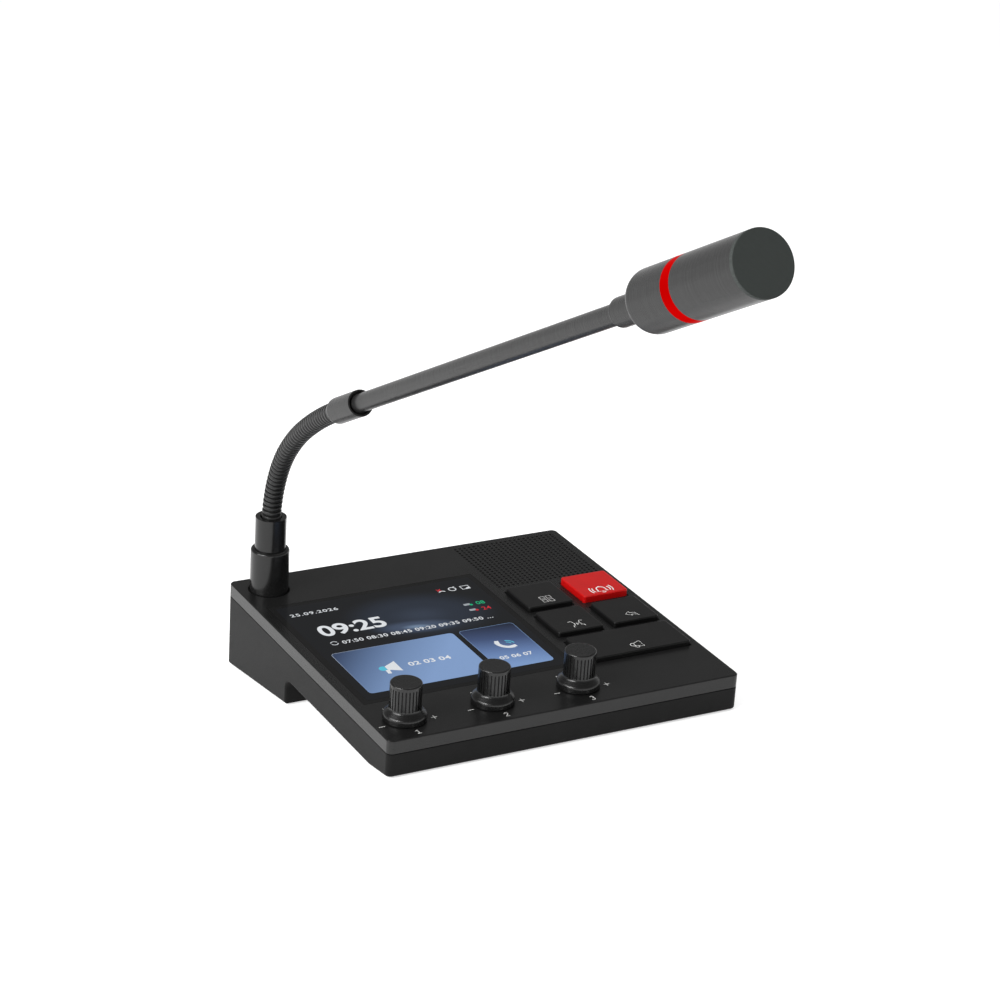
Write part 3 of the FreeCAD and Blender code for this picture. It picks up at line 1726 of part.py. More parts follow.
capsule = turned(
    "Capsule",
    [
        (0, capsule_start),
        (z.capsule_radius, capsule_start),
        (z.capsule_radius, capsule_end - z.capsule_step),
        (capsule_neck, capsule_end - z.capsule_step),
        (capsule_neck, capsule_end),
        (0, capsule_end),
    ],
)
place(capsule, "arm")
as_node(capsule, "capsule")
holder = turned(
    "CapsuleHolder",
    [
        (z.capsule_radius + z.thread_gap, holder_start),
        (core_outer, holder_start),
        (core_outer, holder_start + z.holder_length),
        (z.capsule_radius + z.thread_gap, holder_start + z.holder_length),
    ],
)
place(holder, "arm")
as_node(holder, "capsule_holder")

# jacks on the rear board, their faces flush with the rear wall
jack_face = z.case_length - z.jack_inset
network = block(
    "NetworkJack",
    z.network_width,
    z.network_length,
    z.network_height,
    network_x,
    jack_face - z.network_length / 2,
    rear_board_top,
)
port = new_sketch(network, "XZ_Plane", (0, 0, -jack_face))
add_rectangle(port, network_x, network_z, z.port_width, z.port_height)
pocket(network, port, z.port_length, up=True)
place(network, "panel")
as_node(network, "network_jack")


def round_jack(name, label, x, radius, bore, pin):
    """A round jack lying on the rear board, open to the rear, with or without a centre pin."""
    jack = new_body(name)
    height = rear_board_top + radius
    barrel = new_sketch(jack, "XZ_Plane", (0, 0, -jack_face))
    add_circle(barrel, x, height, radius)
    pad(jack, barrel, z.power_length)
    base = new_sketch(jack, "XZ_Plane", (0, 0, -(jack_face - z.case_wall * 2)))
    add_rectangle(base, x, rear_board_top + radius / 2, radius * 2, radius)
    pad(jack, base, z.power_length - z.case_wall * 2)
    hole = new_sketch(jack, "XZ_Plane", (0, 0, -jack_face))
    add_circle(hole, x, height, bore)
    pocket(jack, hole, z.power_length - z.jack_floor, up=True)
    if pin is not None:
        stud = new_sketch(jack, "XZ_Plane", (0, 0, -(jack_face - z.jack_pin_setback)))
        add_circle(stud, x, height, pin)
        pad(jack, stud, z.power_length - z.jack_pin_setback * 2)
    place(jack, "panel")
    return as_node(jack, label)


round_jack("PowerJack", "power_jack", power_x, z.power_radius, z.power_bore, z.power_pin)
round_jack("AudioJack", "audio_jack", audio_x, z.audio_radius, z.audio_bore, None)

# screws: six through the lower case, two on the ballast, and the small ones on boards and clamps
case_screw_seat = boss_top - z.boss_web
case_screws = [
    screw(x, y, case_screw_seat, z.screw_radius, z.screw_head_radius, z.screw_head_height, z.screw_reach)
    for x, y in BOSSES_FRONT + BOSSES_REAR
]
shape_node("case_screws", Part.makeCompound(case_screws), "panel")
ballast_top = floor_z + z.ballast_thickness
ballast_screws = []
for post_x, post_y in BALLAST_SCREWS:
    head = Part.makeCylinder(
        (z.ballast_boss_radius + z.ballast_head_lap).value,
        z.screw_head_height.value,
        Vector(post_x.value, post_y.value, ballast_top.value),
    )
    shank = Part.makeCylinder(
        z.screw_radius.value,
        (z.ballast_thickness - z.ballast_screw_spare).value,
        Vector(post_x.value, post_y.value, (ballast_top - z.ballast_thickness + z.ballast_screw_spare).value),
    )
    ballast_screws.append(head.fuse(shank))
shape_node("ballast_screws", Part.makeCompound(ballast_screws), "world")
ear_screw_reach = z.small_screw_reach + z.ear_thickness - z.board_thickness
small_screws = []
for spots, seat, head_radius, reach in (
    (MAIN_POSTS, main_board_top - z.board_thickness, z.small_head_radius, z.small_screw_reach),
    (KEY_POSTS, key_board_top - z.board_thickness, z.small_head_radius, z.small_screw_reach),
    (SPEAKER_POSTS, clamp_level, z.clamp_head_radius, z.clamp_screw_reach),
    (ear_posts, ear_top - z.ear_thickness, z.small_head_radius, ear_screw_reach),
):
    for x, y in spots:
        small_screws.append(
            screw(x, y, seat, z.small_screw_radius, head_radius, z.small_head_height, reach)
        )
for x, y in REAR_POSTS:
    down = screw(
        x, y, 0, z.small_screw_radius, z.small_head_radius, z.small_head_height, z.small_screw_reach
    )
    down.rotate(Vector(x.value, y.value, 0), Vector(1, 0, 0), 180)
    down.translate(Vector(0, 0, rear_board_top.value))
    small_screws.append(down)
shape_node("board_screws", Part.makeCompound(small_screws), "panel")

# the speaker's field of small holes
columns = int(SIZES["speaker_holes_x"])
rows = int(SIZES["speaker_holes_y"])
first_hole_x = speaker_x.value - (columns - 1) / 2 * z.speaker_pitch_x.value
first_hole_y = speaker_y.value - (rows - 1) / 2 * z.speaker_pitch_y.value
drills = []
for column in range(columns):
    for line in range(rows):
        spot = Vector(
            first_hole_x + column * z.speaker_pitch_x.value,
            first_hole_y + line * z.speaker_pitch_y.value,
            (plate_bottom - z.hole_gap).value,
        )
        drills.append(
            Part.makeCylinder(z.speaker_hole_radius.value, (z.plate_thickness + z.cut_overrun).value, spot)
        )
field = doc.addObject("Part::Feature", "SpeakerHoles")
field.Shape = Part.makeCompound(drills)
place(field, "panel")
upper_shell = doc.addObject("Part::Cut", "UpperShell")
upper_shell.Base = shell
upper_shell.Tool = field
as_node(upper_shell, "upper_shell")

# check the document, then write one file for each piece
doc.recompute()
for item in doc.Objects:
    if "Invalid" in item.State or "Error" in item.State:
        raise RuntimeError(f"{item.Name} failed: {item.State}")
for piece in NODES:
    if piece.Shape.isNull() or not piece.Shape.isValid() or not piece.Shape.Solids:
        raise RuntimeError(f"{piece.Label} has no valid solid")
print(f"gooseneck: {neck_length:.2f} mm with {rib_count} ribs, pieces: {len(NODES)}")
os.makedirs("parts", exist_ok=True)
for piece in NODES:
    piece.Shape.exportStep(f"parts/{piece.Label}.step")
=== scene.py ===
"""The looks of a desktop paging microphone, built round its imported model."""
import math

import bmesh
import bpy
from mathutils import Matrix, Vector


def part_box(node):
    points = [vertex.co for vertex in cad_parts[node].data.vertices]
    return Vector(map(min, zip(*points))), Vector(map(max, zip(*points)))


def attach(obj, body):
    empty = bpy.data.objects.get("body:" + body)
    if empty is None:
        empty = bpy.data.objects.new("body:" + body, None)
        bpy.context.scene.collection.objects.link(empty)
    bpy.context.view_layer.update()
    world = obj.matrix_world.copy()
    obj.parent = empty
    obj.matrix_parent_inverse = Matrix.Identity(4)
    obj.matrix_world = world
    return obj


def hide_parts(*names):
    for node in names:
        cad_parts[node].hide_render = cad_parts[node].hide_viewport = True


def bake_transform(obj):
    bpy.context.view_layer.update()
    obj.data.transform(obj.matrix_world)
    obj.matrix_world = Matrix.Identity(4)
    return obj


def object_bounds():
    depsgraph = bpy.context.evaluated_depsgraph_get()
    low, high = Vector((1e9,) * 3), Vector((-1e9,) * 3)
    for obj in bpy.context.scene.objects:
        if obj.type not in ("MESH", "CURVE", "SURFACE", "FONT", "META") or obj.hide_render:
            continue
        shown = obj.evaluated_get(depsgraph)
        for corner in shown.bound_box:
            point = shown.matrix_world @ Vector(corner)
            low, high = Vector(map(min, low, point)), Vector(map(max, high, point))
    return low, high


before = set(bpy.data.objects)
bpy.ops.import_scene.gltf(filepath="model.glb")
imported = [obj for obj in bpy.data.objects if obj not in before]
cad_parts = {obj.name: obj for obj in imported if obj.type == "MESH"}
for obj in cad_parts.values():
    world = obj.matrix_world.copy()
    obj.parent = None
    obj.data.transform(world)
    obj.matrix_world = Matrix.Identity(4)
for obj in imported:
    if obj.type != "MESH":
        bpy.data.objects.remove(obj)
cad_low, cad_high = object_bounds()

# Sizes on the part are in millimetres, in the panel's frame or the microphone's own frame.
# The panel frame starts at the middle of the panel's front edge: X across, Y up the slope, Z square to it.
MM = 0.001
SLOPE = math.radians(8.2)
GLASS_FRONT = 39.85
GLASS_REAR = 158.85
glass_low, glass_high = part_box("display_glass")
panel_front = glass_low.y - GLASS_FRONT * MM * math.cos(SLOPE)
panel_low = glass_high.z - GLASS_REAR * MM * math.sin(SLOPE)
PANEL = Matrix.Translation((0, panel_front, panel_low)) @ Matrix.Rotation(SLOPE, 4, "X") @ Matrix.Scale(MM, 4)
CASE_LENGTH = 196
CASE_HALF_WIDTH = 100
DIAL_FIRST = -82.05
DIAL_PITCH = 48.85
DIAL_Y = 19.6

# the microphone's socket, and the gooseneck's centre line: three arcs, each leaning further forward
SOCKET = PANEL @ Matrix.Translation((-83.6, 180, 0))
NECK_START = 35.7
NECK_TAIL = 10.44
NECK_BENDS = ((80.8, math.radians(41)), (130.6, math.radians(11.4)), (258.3, math.radians(9.31)))
NECK_RADIUS = 5.22
NECK_ROOT = 4.2
NECK_BORE = 3.2
RIB_PITCH = 3
LEAD_RADIUS = 1.5
# how far the lead reaches past the hose's lower and upper ends
LEAD_BELOW = 20
LEAD_ABOVE = 1.5
# the hose's own attribute, 0 in a groove and 1 on a crest
CREST = "crest"


def neck_knots():
    """The points where the gooseneck's arcs meet, each with its lean from upright, in world millimetres."""
    start = (SOCKET @ Vector((0, 0, NECK_START))) / MM
    knots = [(start, SLOPE)]
    for radius, angle in NECK_BENDS:
        point, lean = knots[-1]
        after = lean + angle
        forward = radius * (math.cos(lean) - math.cos(after))
        upward = radius * (math.sin(after) - math.sin(lean))
        knots.append((point + Vector((0, -forward, upward)), after))
    return knots


KNOTS = neck_knots()
ARM_START, ARM_LEAN = KNOTS[-1]
NECK_LENGTH = 2 * NECK_TAIL + sum(radius * angle for radius, angle in NECK_BENDS)
ARM = Matrix.Translation(ARM_START * MM) @ Matrix.Rotation(ARM_LEAN, 4, "X") @ Matrix.Scale(MM, 4)


# modelling
def deselect():
    bpy.ops.object.select_all(action="DESELECT")


def open_edit(select="DESELECT"):
    bpy.ops.object.mode_set(mode="EDIT")
    bpy.ops.mesh.select_all(action=select)


def close_edit():
    bpy.ops.object.mode_set(mode="OBJECT")


def pick_edges(piece, wanted):
    """In edit mode, selects just the edges whose middle point suits wanted."""
    shape = bmesh.from_edit_mesh(piece.data)
    for edge in shape.edges:
        middle = (edge.verts[0].co + edge.verts[1].co) / 2
        edge.select_set(bool(wanted(middle)))
    bmesh.update_edit_mesh(piece.data)


def turn_outwards():
    bpy.ops.mesh.select_all(action="SELECT")
    bpy.ops.mesh.remove_doubles(threshold=0.0005)
    bpy.ops.mesh.normals_make_consistent(inside=False)


def apply_place():
    bpy.ops.object.transform_apply(location=True, rotation=True, scale=True)


def dress(piece, name, place, finish):
    """Gives a modelled piece its name, its place and its finish."""
    piece.name = name
    piece.data.name = name
    piece.data.transform(place)
    piece.data.materials.clear()
    piece.data.materials.append(finish)


def finish_piece(piece, name, place, finish, body):
    """Dresses a piece and lets it ride on a body."""
    dress(piece, name, place, finish)
    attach(piece, body)
    return piece


def new_object(name, data):
    thing = bpy.data.objects.new(name, data)
    bpy.context.scene.collection.objects.link(thing)
    return thing


def pick(*things):
    """Selects these alone, with the first one active."""
    deselect()
    for thing in things:
        thing.select_set(True)
    bpy.context.view_layer.objects.active = things[0]


def joined(*pieces):
    """One object from several."""
    pick(*pieces)
    bpy.ops.object.join()
    return pieces[0]


def as_mesh(thing):
    pick(thing)
    bpy.ops.object.convert(target="MESH")
    return bpy.context.object


def rounded_plate(left, right, front, rear, corner, low, thickness):
    """A thin plate with rounded corners, its underside at the height low."""
    middle = ((left + right) / 2, (front + rear) / 2, low)
    deselect()
    bpy.ops.mesh.primitive_plane_add(size=1, location=middle)
    open_edit("SELECT")
    bpy.ops.transform.resize(value=(right - left, rear - front, 1), center_override=middle)
    bpy.ops.mesh.bevel(offset=corner, segments=6, affect="VERTICES")
    bpy.ops.mesh.extrude_region_move(TRANSFORM_OT_translate={"value": (0, 0, thickness)})
    turn_outwards()
    close_edit()
    apply_place()
    return bpy.context.object


def traced(strokes, dimensions, **settings):
    """A mesh from straight-sided strokes. A stroke that ends where it starts is closed."""
    curve = bpy.data.curves.new("strokes", "CURVE")
    curve.dimensions = dimensions
    for name, value in settings.items():
        setattr(curve, name, value)
    for points in strokes:
        closed = len(points) > 2 and math.dist(points[0], points[-1]) < 1e-6
        spots = points[:-1] if closed else points
        spline = curve.splines.new("POLY")
        spline.points.add(len(spots) - 1)
        for spot, point in zip(spline.points, spots):
            spot.co = (*Vector(point).to_3d(), 1)
        spline.use_cyclic_u = closed
    return as_mesh(new_object("strokes", curve))


def drawn(strokes, width, low, thickness):
    """Strokes of one width in low relief."""
    piece = traced(strokes, "3D", bevel_depth=width / 2, bevel_resolution=2, use_fill_caps=True)
    flat = Matrix.Scale(thickness / width, 4, (0, 0, 1))
    piece.data.transform(Matrix.Translation((0, 0, low + thickness / 2)) @ flat)
    return piece


def scaled(strokes, x, y, size):
    """Strokes drawn about the origin, enlarged and moved."""
    return [[(x + size * spot[0], y + size * spot[1]) for spot in stroke] for stroke in strokes]


def cut_out(outlines, low, thickness):
    """Flat filled shapes from closed outlines, in low relief. An outline inside another is a hole."""
    closed = [[*points, points[0]] for points in outlines]
    piece = traced(closed, "2D", fill_mode="BOTH", extrude=thickness / 2)
    piece.data.transform(Matrix.Translation((0, 0, low + thickness / 2)))
    return piece


def numerals(text, left, front, size, low, weight, spacing, wide, thickness):
    """Plain numbers of one height, from their front left corner, widened by the factor wide."""
    letters = bpy.data.curves.new("numerals", "FONT")
    letters.body = text
    letters.offset = weight
    letters.space_character = spacing
    letters.extrude = 0.01
    piece = as_mesh(new_object("numerals", letters))
    spots = [vertex.co for vertex in piece.data.vertices]
    lowest = Vector([min(spot[axis] for spot in spots) for axis in range(3)])
    highest = Vector([max(spot[axis] for spot in spots) for axis in range(3)])
    span = highest - lowest
    grow = Matrix.Diagonal((wide * size / span.y, size / span.y, thickness / span.z, 1))
    piece.data.transform(Matrix.Translation((left, front, low)) @ grow @ Matrix.Translation(-lowest))
    return piece


def arc(x, y, radius, first, last, steps=12):
    """Points along an arc, its angles in degrees."""
    points = []
    for step in range(steps + 1):
        angle = math.radians(first + (last - first) * step / steps)
        points.append((x + radius * math.cos(angle), y + radius * math.sin(angle)))
    return points


def ring(x, y, radius):
    return arc(x, y, radius, 0, 360, 20)[:-1] + [(x + radius, y)]


def box_outline(left, right, front, rear):
    return [(left, front), (right, front), (right, rear), (left, rear), (left, front)]


# finishes
TOP_SHADE = 25
# painted light: the band round the case's outer sides gets this lighter grey, for the light its faces catch
BAND_LIT_GREY = 39
# the flutes between a knob's ribs, left matt and painted darker as painted shade: where each fades out at the
# wall, the foot and the head
FLUTE_SHADE_WALL = (7.7, 7.95)
FLUTE_SHADE_FOOT = (6.8, 7.4)
FLUTE_SHADE_HEAD = (17.7, 18.2)


def new_finish(name):
    finish = bpy.data.materials.new(name)
    finish.use_nodes = True
    tree = finish.node_tree
    return finish, tree, tree.nodes["Principled BSDF"]


def add(tree, kind, inputs=None, **settings):
    """Adds a node. An input's value is a number, a colour or another node's output."""
    part = tree.nodes.new(kind)
    for name, value in settings.items():
        setattr(part, name, value)
    for name, value in (inputs or {}).items():
        if isinstance(value, bpy.types.NodeSocket):
            tree.links.new(value, part.inputs[name])
        else:
            part.inputs[name].default_value = value
    return part


def grey(level):
    """A linear grey for a level as it is seen, from 0 to 255."""
    return colour(level, level, level)


def colour(red, green, blue):
    """A linear colour for the values as they are seen, from 0 to 255."""
    linear = []
    for part in (red, green, blue):
        share = part / 255
        linear.append(share / 12.92 if share <= 0.04045 else ((share + 0.055) / 1.055) ** 2.4)
    return (*linear, 1)


def place_on(tree, frame_matrix):
    """Object coordinates turned into a frame's own millimetres."""
    where = add(tree, "ShaderNodeTexCoord")
    location, rotation, scale = frame_matrix.decompose()
    mapping = add(tree, "ShaderNodeMapping", {"Vector": where.outputs["Object"]}, vector_type="TEXTURE")
    mapping.inputs["Location"].default_value = location
    mapping.inputs["Rotation"].default_value = rotation.to_euler()
    mapping.inputs["Scale"].default_value = scale
    return mapping.outputs["Vector"]


def ramp(tree, factor, stops, interpolation="LINEAR"):
    part = add(tree, "ShaderNodeValToRGB", {"Fac": factor})
    part.color_ramp.interpolation = interpolation
    elements = part.color_ramp.elements
    for element, (position, shade) in zip(elements, (stops[0], stops[-1])):
        element.position = position
        element.color = shade
    for position, shade in stops[1:-1]:
        elements.new(position).color = shade
    return part.outputs["Color"]


def speckled(tree, where, scale, detail=4.0):
    grain = {"Vector": where, "Scale": scale, "Detail": detail}
    return add(tree, "ShaderNodeTexNoise", grain).outputs["Fac"]


def waves(tree, where, scale, direction):
    bands = {"wave_type": "BANDS", "bands_direction": direction}
    return add(tree, "ShaderNodeTexWave", {"Vector": where, "Scale": scale}, **bands).outputs["Fac"]


def maths(tree, operation, *values):
    """The result of one sum on numbers or other nodes' outputs."""
    return add(tree, "ShaderNodeMath", dict(enumerate(values)), operation=operation).outputs["Value"]


def vector_maths(tree, operation, *values):
    """The result of one sum on vectors: a node's outputs, Vector and Value."""
    return add(tree, "ShaderNodeVectorMath", dict(enumerate(values)), operation=operation).outputs


def between(tree, value, start, end, first=0.0, last=1.0):
    """The number first up to start, last beyond end, and even steps from one to the other."""
    reach = {"Value": value, "From Min": start, "From Max": end, "To Min": first, "To Max": last}
    return add(tree, "ShaderNodeMapRange", reach).outputs["Result"]


def mixed(tree, factor, first, second, blend_type="MIX"):
    """Two colours, mixed, added or multiplied."""
    inputs = {"Factor": factor, "A": first, "B": second}
    return add(tree, "ShaderNodeMix", inputs, data_type="RGBA", blend_type=blend_type).outputs["Result"]


def axes(tree, where):
    return add(tree, "ShaderNodeSeparateXYZ", {"Vector": where}).outputs


def bumped(tree, shader, height, strength, distance):
    relief = {"Height": height, "Strength": strength, "Distance": distance * MM}
    tree.links.new(add(tree, "ShaderNodeBump", relief).outputs["Normal"], shader.inputs["Normal"])


def grey_value(value):
    return (value, value, value, 1)


def shade_range(shade, spread):
    low = tuple(part * (1 - spread) for part in shade[:3])
    high = tuple(part * (1 + spread) for part in shade[:3])
    return [(0.3, (*low, 1)), (0.7, (*high, 1))]


def set_tone(tree, shader, texture, shade, spread):
    """A base colour that wanders a little either side of its shade."""
    tree.links.new(ramp(tree, texture, shade_range(shade, spread)), shader.inputs["Base Color"])


def set_sheen(tree, shader, texture, smooth, rough):
    """Roughness that wanders from smooth to rough."""
    sheen = ramp(tree, texture, [(0.3, grey_value(smooth)), (0.7, grey_value(rough))])
    tree.links.new(sheen, shader.inputs["Roughness"])


def set_gloss(shader, gloss, roughness=None):
    """The gloss, and a roughness that is the same all over where one is given."""
    shader.inputs["Specular IOR Level"].default_value = gloss
    if roughness is not None:
        shader.inputs["Roughness"].default_value = roughness


def moulded(name, shade, roughness, gloss, grain=0.35, grain_depth=0.02):
    """Moulded plastic: a fine spark-eroded grain, and a slightly uneven tone and sheen."""
    finish, tree, shader = new_finish(name)
    where = place_on(tree, PANEL)
    texture = speckled(tree, where, 1 / grain, 2.0)
    set_tone(tree, shader, speckled(tree, where, 0.06), shade, 0.12)
    set_sheen(tree, shader, texture, roughness - 0.05, roughness + 0.05)
    set_gloss(shader, gloss)
    bumped(tree, shader, texture, 0.35, grain_depth)
    return finish


def case_top_finish():
    """The upper shell: satin black on top, and a band round its outer sides painted a lighter grey as painted
    light.
    """
    finish, tree, shader = new_finish("satin_case_top")
    where = place_on(tree, PANEL)
    spot = axes(tree, where)
    across = maths(tree, "ABSOLUTE", spot["X"])
    along = maths(tree, "ABSOLUTE", maths(tree, "SUBTRACT", spot["Y"], CASE_LENGTH / 2))
    beyond_side = maths(tree, "SUBTRACT", across, CASE_HALF_WIDTH)
    beyond_end = maths(tree, "SUBTRACT", along, CASE_LENGTH / 2)
    # painted light: the band round the outer sides, just below the top, gets the lighter grey
    outside = between(tree, maths(tree, "MAXIMUM", beyond_side, beyond_end), -1.0, -0.8)
    below = between(tree, spot["Z"], -0.45, -0.05, 1.0, 0.0)
    band = maths(tree, "MULTIPLY", outside, below)
    cloud = speckled(tree, where, 0.05)
    top = ramp(tree, cloud, shade_range(grey(TOP_SHADE), 0.1))
    side = ramp(tree, cloud, shade_range(grey(BAND_LIT_GREY), 0.06))
    tree.links.new(mixed(tree, band, top, side), shader.inputs["Base Color"])
    texture = speckled(tree, where, 3.2, 2.0)
    set_sheen(tree, shader, texture, 0.24, 0.31)
    set_gloss(shader, 0.3)
    bumped(tree, shader, texture, 0.1, 0.01)
    return finish


def glass_finish():
    """Black cover glass: polished, with faint finger haze."""
    finish, tree, shader = new_finish("black_cover_glass")
    where = place_on(tree, PANEL)
    haze = speckled(tree, where, 0.035, 5.0)
    wiped = ramp(tree, haze, [(0.35, grey_value(0.05)), (0.75, grey_value(0.11))])
    tree.links.new(wiped, shader.inputs["Roughness"])
    set_tone(tree, shader, haze, grey(30), 0.1)
    set_gloss(shader, 0.06)
    return finish


def lit(name, light_at):
    """What shines through the glass: its light, under the glass's own gloss and over a fine pixel grid."""
    finish, tree, shader = new_finish(name)
    where = place_on(tree, PANEL)
    light = light_at(tree, where)
    grid = add(
        tree,
        "ShaderNodeTexBrick",
        {
            "Vector": where,
            "Color1": (1, 1, 1, 1),
            "Color2": (0.97, 0.98, 1, 1),
            "Mortar": (0.86, 0.86, 0.86, 1),
            "Scale": 1.0,
            "Mortar Size": 0.02,
            "Brick Width": 0.18,
            "Row Height": 0.18,
        },
        offset=0.0,
    )
    dots = mixed(tree, 1.0, light, grid.outputs["Color"], "MULTIPLY")
    tree.links.new(dots, shader.inputs["Emission Color"])
    shader.inputs["Emission Strength"].default_value = 1.0
    shader.inputs["Base Color"].default_value = grey(8)
    set_gloss(shader, 0.05, 0.06)
    return finish


def ellipse_distance(tree, where, middle, reach, turn):
    """The distance from a point of the panel, as a share of an ellipse's reach across and up it."""
    spot = add(tree, "ShaderNodeMapping", {"Vector": where}, vector_type="TEXTURE")
    spot.inputs["Location"].default_value = (*middle, 0)
    spot.inputs["Rotation"].default_value = (0, 0, math.radians(turn))
    spot.inputs["Scale"].default_value = (*reach, max(reach))
    return vector_maths(tree, "LENGTH", spot.outputs["Vector"])["Value"]


def screen_light(tree, where):
    """The screen's ground: near black, with a cool haze and a brighter streak across its middle."""
    haze = ramp(
        tree,
        ellipse_distance(tree, where, (-22, 122), (46, 30), -8),
        [(0.0, colour(54, 62, 76)), (0.45, colour(44, 50, 61)), (1.0, colour(30, 31, 33))],
        "EASE",
    )
    streak = ramp(
        tree,
        ellipse_distance(tree, where, (-30, 110), (27, 8.5), -9),
        [(0.0, colour(106, 126, 150)), (0.4, colour(52, 63, 82)), (1.0, colour(0, 0, 0))],
        "EASE",
    )
    return mixed(tree, 1.0, haze, streak, "ADD")


def sloping_light(dark, bright, stops):
    """Light that changes along the panel from one point to another."""

    def light(tree, where):
        way = Vector((bright[0] - dark[0], bright[1] - dark[1], 0))
        from_dark = vector_maths(tree, "SUBTRACT", where, (*dark, 0))["Vector"]
        share = vector_maths(tree, "DOT_PRODUCT", from_dark, way / way.length_squared)["Value"]
        return ramp(tree, share, stops)

    return light


def plain_light(shade):
    """One light colour, a touch uneven across the backlight."""

    def light(tree, where):
        cloud = speckled(tree, where, 0.04)
        return ramp(tree, cloud, shade_range(shade, 0.04))

    return light


def ink_finish(name, shade):
    """Screen-printed ink: matt, with a slightly broken edge tone."""
    finish, tree, shader = new_finish(name)
    where = place_on(tree, PANEL)
    grainy = speckled(tree, where, 6.0, 3.0)
    set_tone(tree, shader, grainy, shade, 0.1)
    set_gloss(shader, 0.2, 0.55)
    bumped(tree, shader, grainy, 0.2, 0.01)
    return finish


def knob_finish():
    """The knobs: satin black, with the flutes between their ribs matt, and darker there by painted shade."""
    finish, tree, shader = new_finish("satin_knob_black")
    where = place_on(tree, PANEL)
    spot = axes(tree, where)
    from_first = maths(tree, "SUBTRACT", spot["X"], DIAL_FIRST)
    across = maths(tree, "WRAP", from_first, DIAL_PITCH / 2, -DIAL_PITCH / 2)
    along = maths(tree, "SUBTRACT", spot["Y"], DIAL_Y)
    from_axis = add(tree, "ShaderNodeCombineXYZ", {"X": across, "Y": along}).outputs["Vector"]
    radius = vector_maths(tree, "LENGTH", from_axis)["Value"]
    inside = between(tree, radius, *FLUTE_SHADE_WALL, 1.0, 0.0)
    low = between(tree, spot["Z"], *FLUTE_SHADE_FOOT)
    high = between(tree, spot["Z"], *FLUTE_SHADE_HEAD, 1.0, 0.0)
    flute_matt_and_shade = maths(tree, "MULTIPLY", inside, maths(tree, "MULTIPLY", low, high))
    texture = speckled(tree, where, 4.0, 2.0)
    body = ramp(tree, speckled(tree, where, 0.06), shade_range(grey(20), 0.06))
    # painted shade: grey 9 in the flutes stands in for the shade down between the ribs
    tree.links.new(mixed(tree, flute_matt_and_shade, body, grey(9)), shader.inputs["Base Color"])
    satin = ramp(tree, texture, [(0.3, grey_value(0.24)), (0.7, grey_value(0.3))])
    tree.links.new(mixed(tree, flute_matt_and_shade, satin, grey_value(0.7)), shader.inputs["Roughness"])
    set_gloss(shader, 0.5)
    bumped(tree, shader, texture, 0.12, 0.003)
    return finish


def red_key_finish():
    """The alert key: glossy red plastic, coloured through."""
    finish, tree, shader = new_finish("red_key_cap")
    where = place_on(tree, PANEL)
    texture = speckled(tree, where, 2.6, 2.0)
    set_tone(tree, shader, speckled(tree, where, 0.1), colour(200, 12, 12), 0.05)
    set_sheen(tree, shader, texture, 0.3, 0.38)
    set_gloss(shader, 0.25)
    bumped(tree, shader, texture, 0.25, 0.012)
    return finish


def painted_metal(name, shade, roughness, gloss, frame_matrix):
    """Satin paint on a turned tube: fine orange peel and faint turning lines round the axis."""
    finish, tree, shader = new_finish(name)
    where = place_on(tree, frame_matrix)
    along = {"W": axes(tree, where)["Z"], "Scale": 5.0, "Detail": 3.0}
    lines = add(tree, "ShaderNodeTexNoise", along, noise_dimensions="1D").outputs["Fac"]
    set_tone(tree, shader, speckled(tree, where, 0.05), shade, 0.06)
    set_sheen(tree, shader, lines, roughness - 0.04, roughness + 0.04)
    set_gloss(shader, gloss)
    bumped(tree, shader, speckled(tree, where, 1.6, 3.0), 0.2, 0.01)
    return finish


def ribbed_finish():
    """The gooseneck: satin black on the crests of its ribs, matt down in the grooves, and darker there by
    painted shade.
    """
    finish, tree, shader = new_finish("satin_neck_black")
    where = place_on(tree, SOCKET)
    crest = add(tree, "ShaderNodeAttribute", attribute_name=CREST).outputs["Fac"]
    peel = speckled(tree, where, 1.6, 3.0)
    # painted shade: the base colour falls from grey 33 on a crest to grey 4 deep in a groove, standing in for
    # the shade in the grooves
    tone = ramp(tree, crest, [(0.0, grey(4)), (0.55, grey(16)), (0.9, grey(30)), (1.0, grey(33))])
    tree.links.new(tone, shader.inputs["Base Color"])
    worn = ramp(tree, crest, [(0.4, grey_value(0.7)), (0.95, grey_value(0.3))])
    patchy = ramp(tree, peel, [(0.3, grey_value(0.92)), (0.7, grey_value(1.0))])
    tree.links.new(mixed(tree, 1.0, worn, patchy, "MULTIPLY"), shader.inputs["Roughness"])
    set_gloss(shader, 0.33)
    bumped(tree, shader, peel, 0.2, 0.01)
    return finish


def mesh_finish():
    """The front disc: a fine woven mesh, dark grey-green."""
    finish, tree, shader = new_finish("woven_front_mesh")
    where = place_on(tree, ARM)
    weave = maths(tree, "MULTIPLY", waves(tree, where, 0.75, "X"), waves(tree, where, 0.75, "Y"))
    tone = ramp(tree, weave, [(0.0, colour(59, 63, 61)), (1.0, colour(73, 76, 75))])
    tree.links.new(tone, shader.inputs["Base Color"])
    set_gloss(shader, 0.1, 0.6)
    bumped(tree, shader, weave, 0.5, 0.05)
    return finish


def ring_finish():
    """The light ring: clear red plastic, lit from inside, a little brighter over each of its four lights."""
    finish, tree, shader = new_finish("lit_red_ring")
    spot = axes(tree, place_on(tree, ARM))
    turn = maths(tree, "ARCTAN2", spot["Y"], spot["X"])
    wave = maths(tree, "COSINE", maths(tree, "MULTIPLY", turn, 4.0))
    spread = between(tree, wave, -1.0, 1.0, 1.0, 0.0)
    light = ramp(tree, spread, [(0.0, colour(206, 0, 0)), (1.0, colour(222, 2, 2))])
    tree.links.new(light, shader.inputs["Emission Color"])
    shader.inputs["Emission Strength"].default_value = 0.8
    shader.inputs["Base Color"].default_value = colour(60, 0, 0)
    shader.inputs["Roughness"].default_value = 0.3
    shader.inputs["IOR"].default_value = 1.015
    return finish


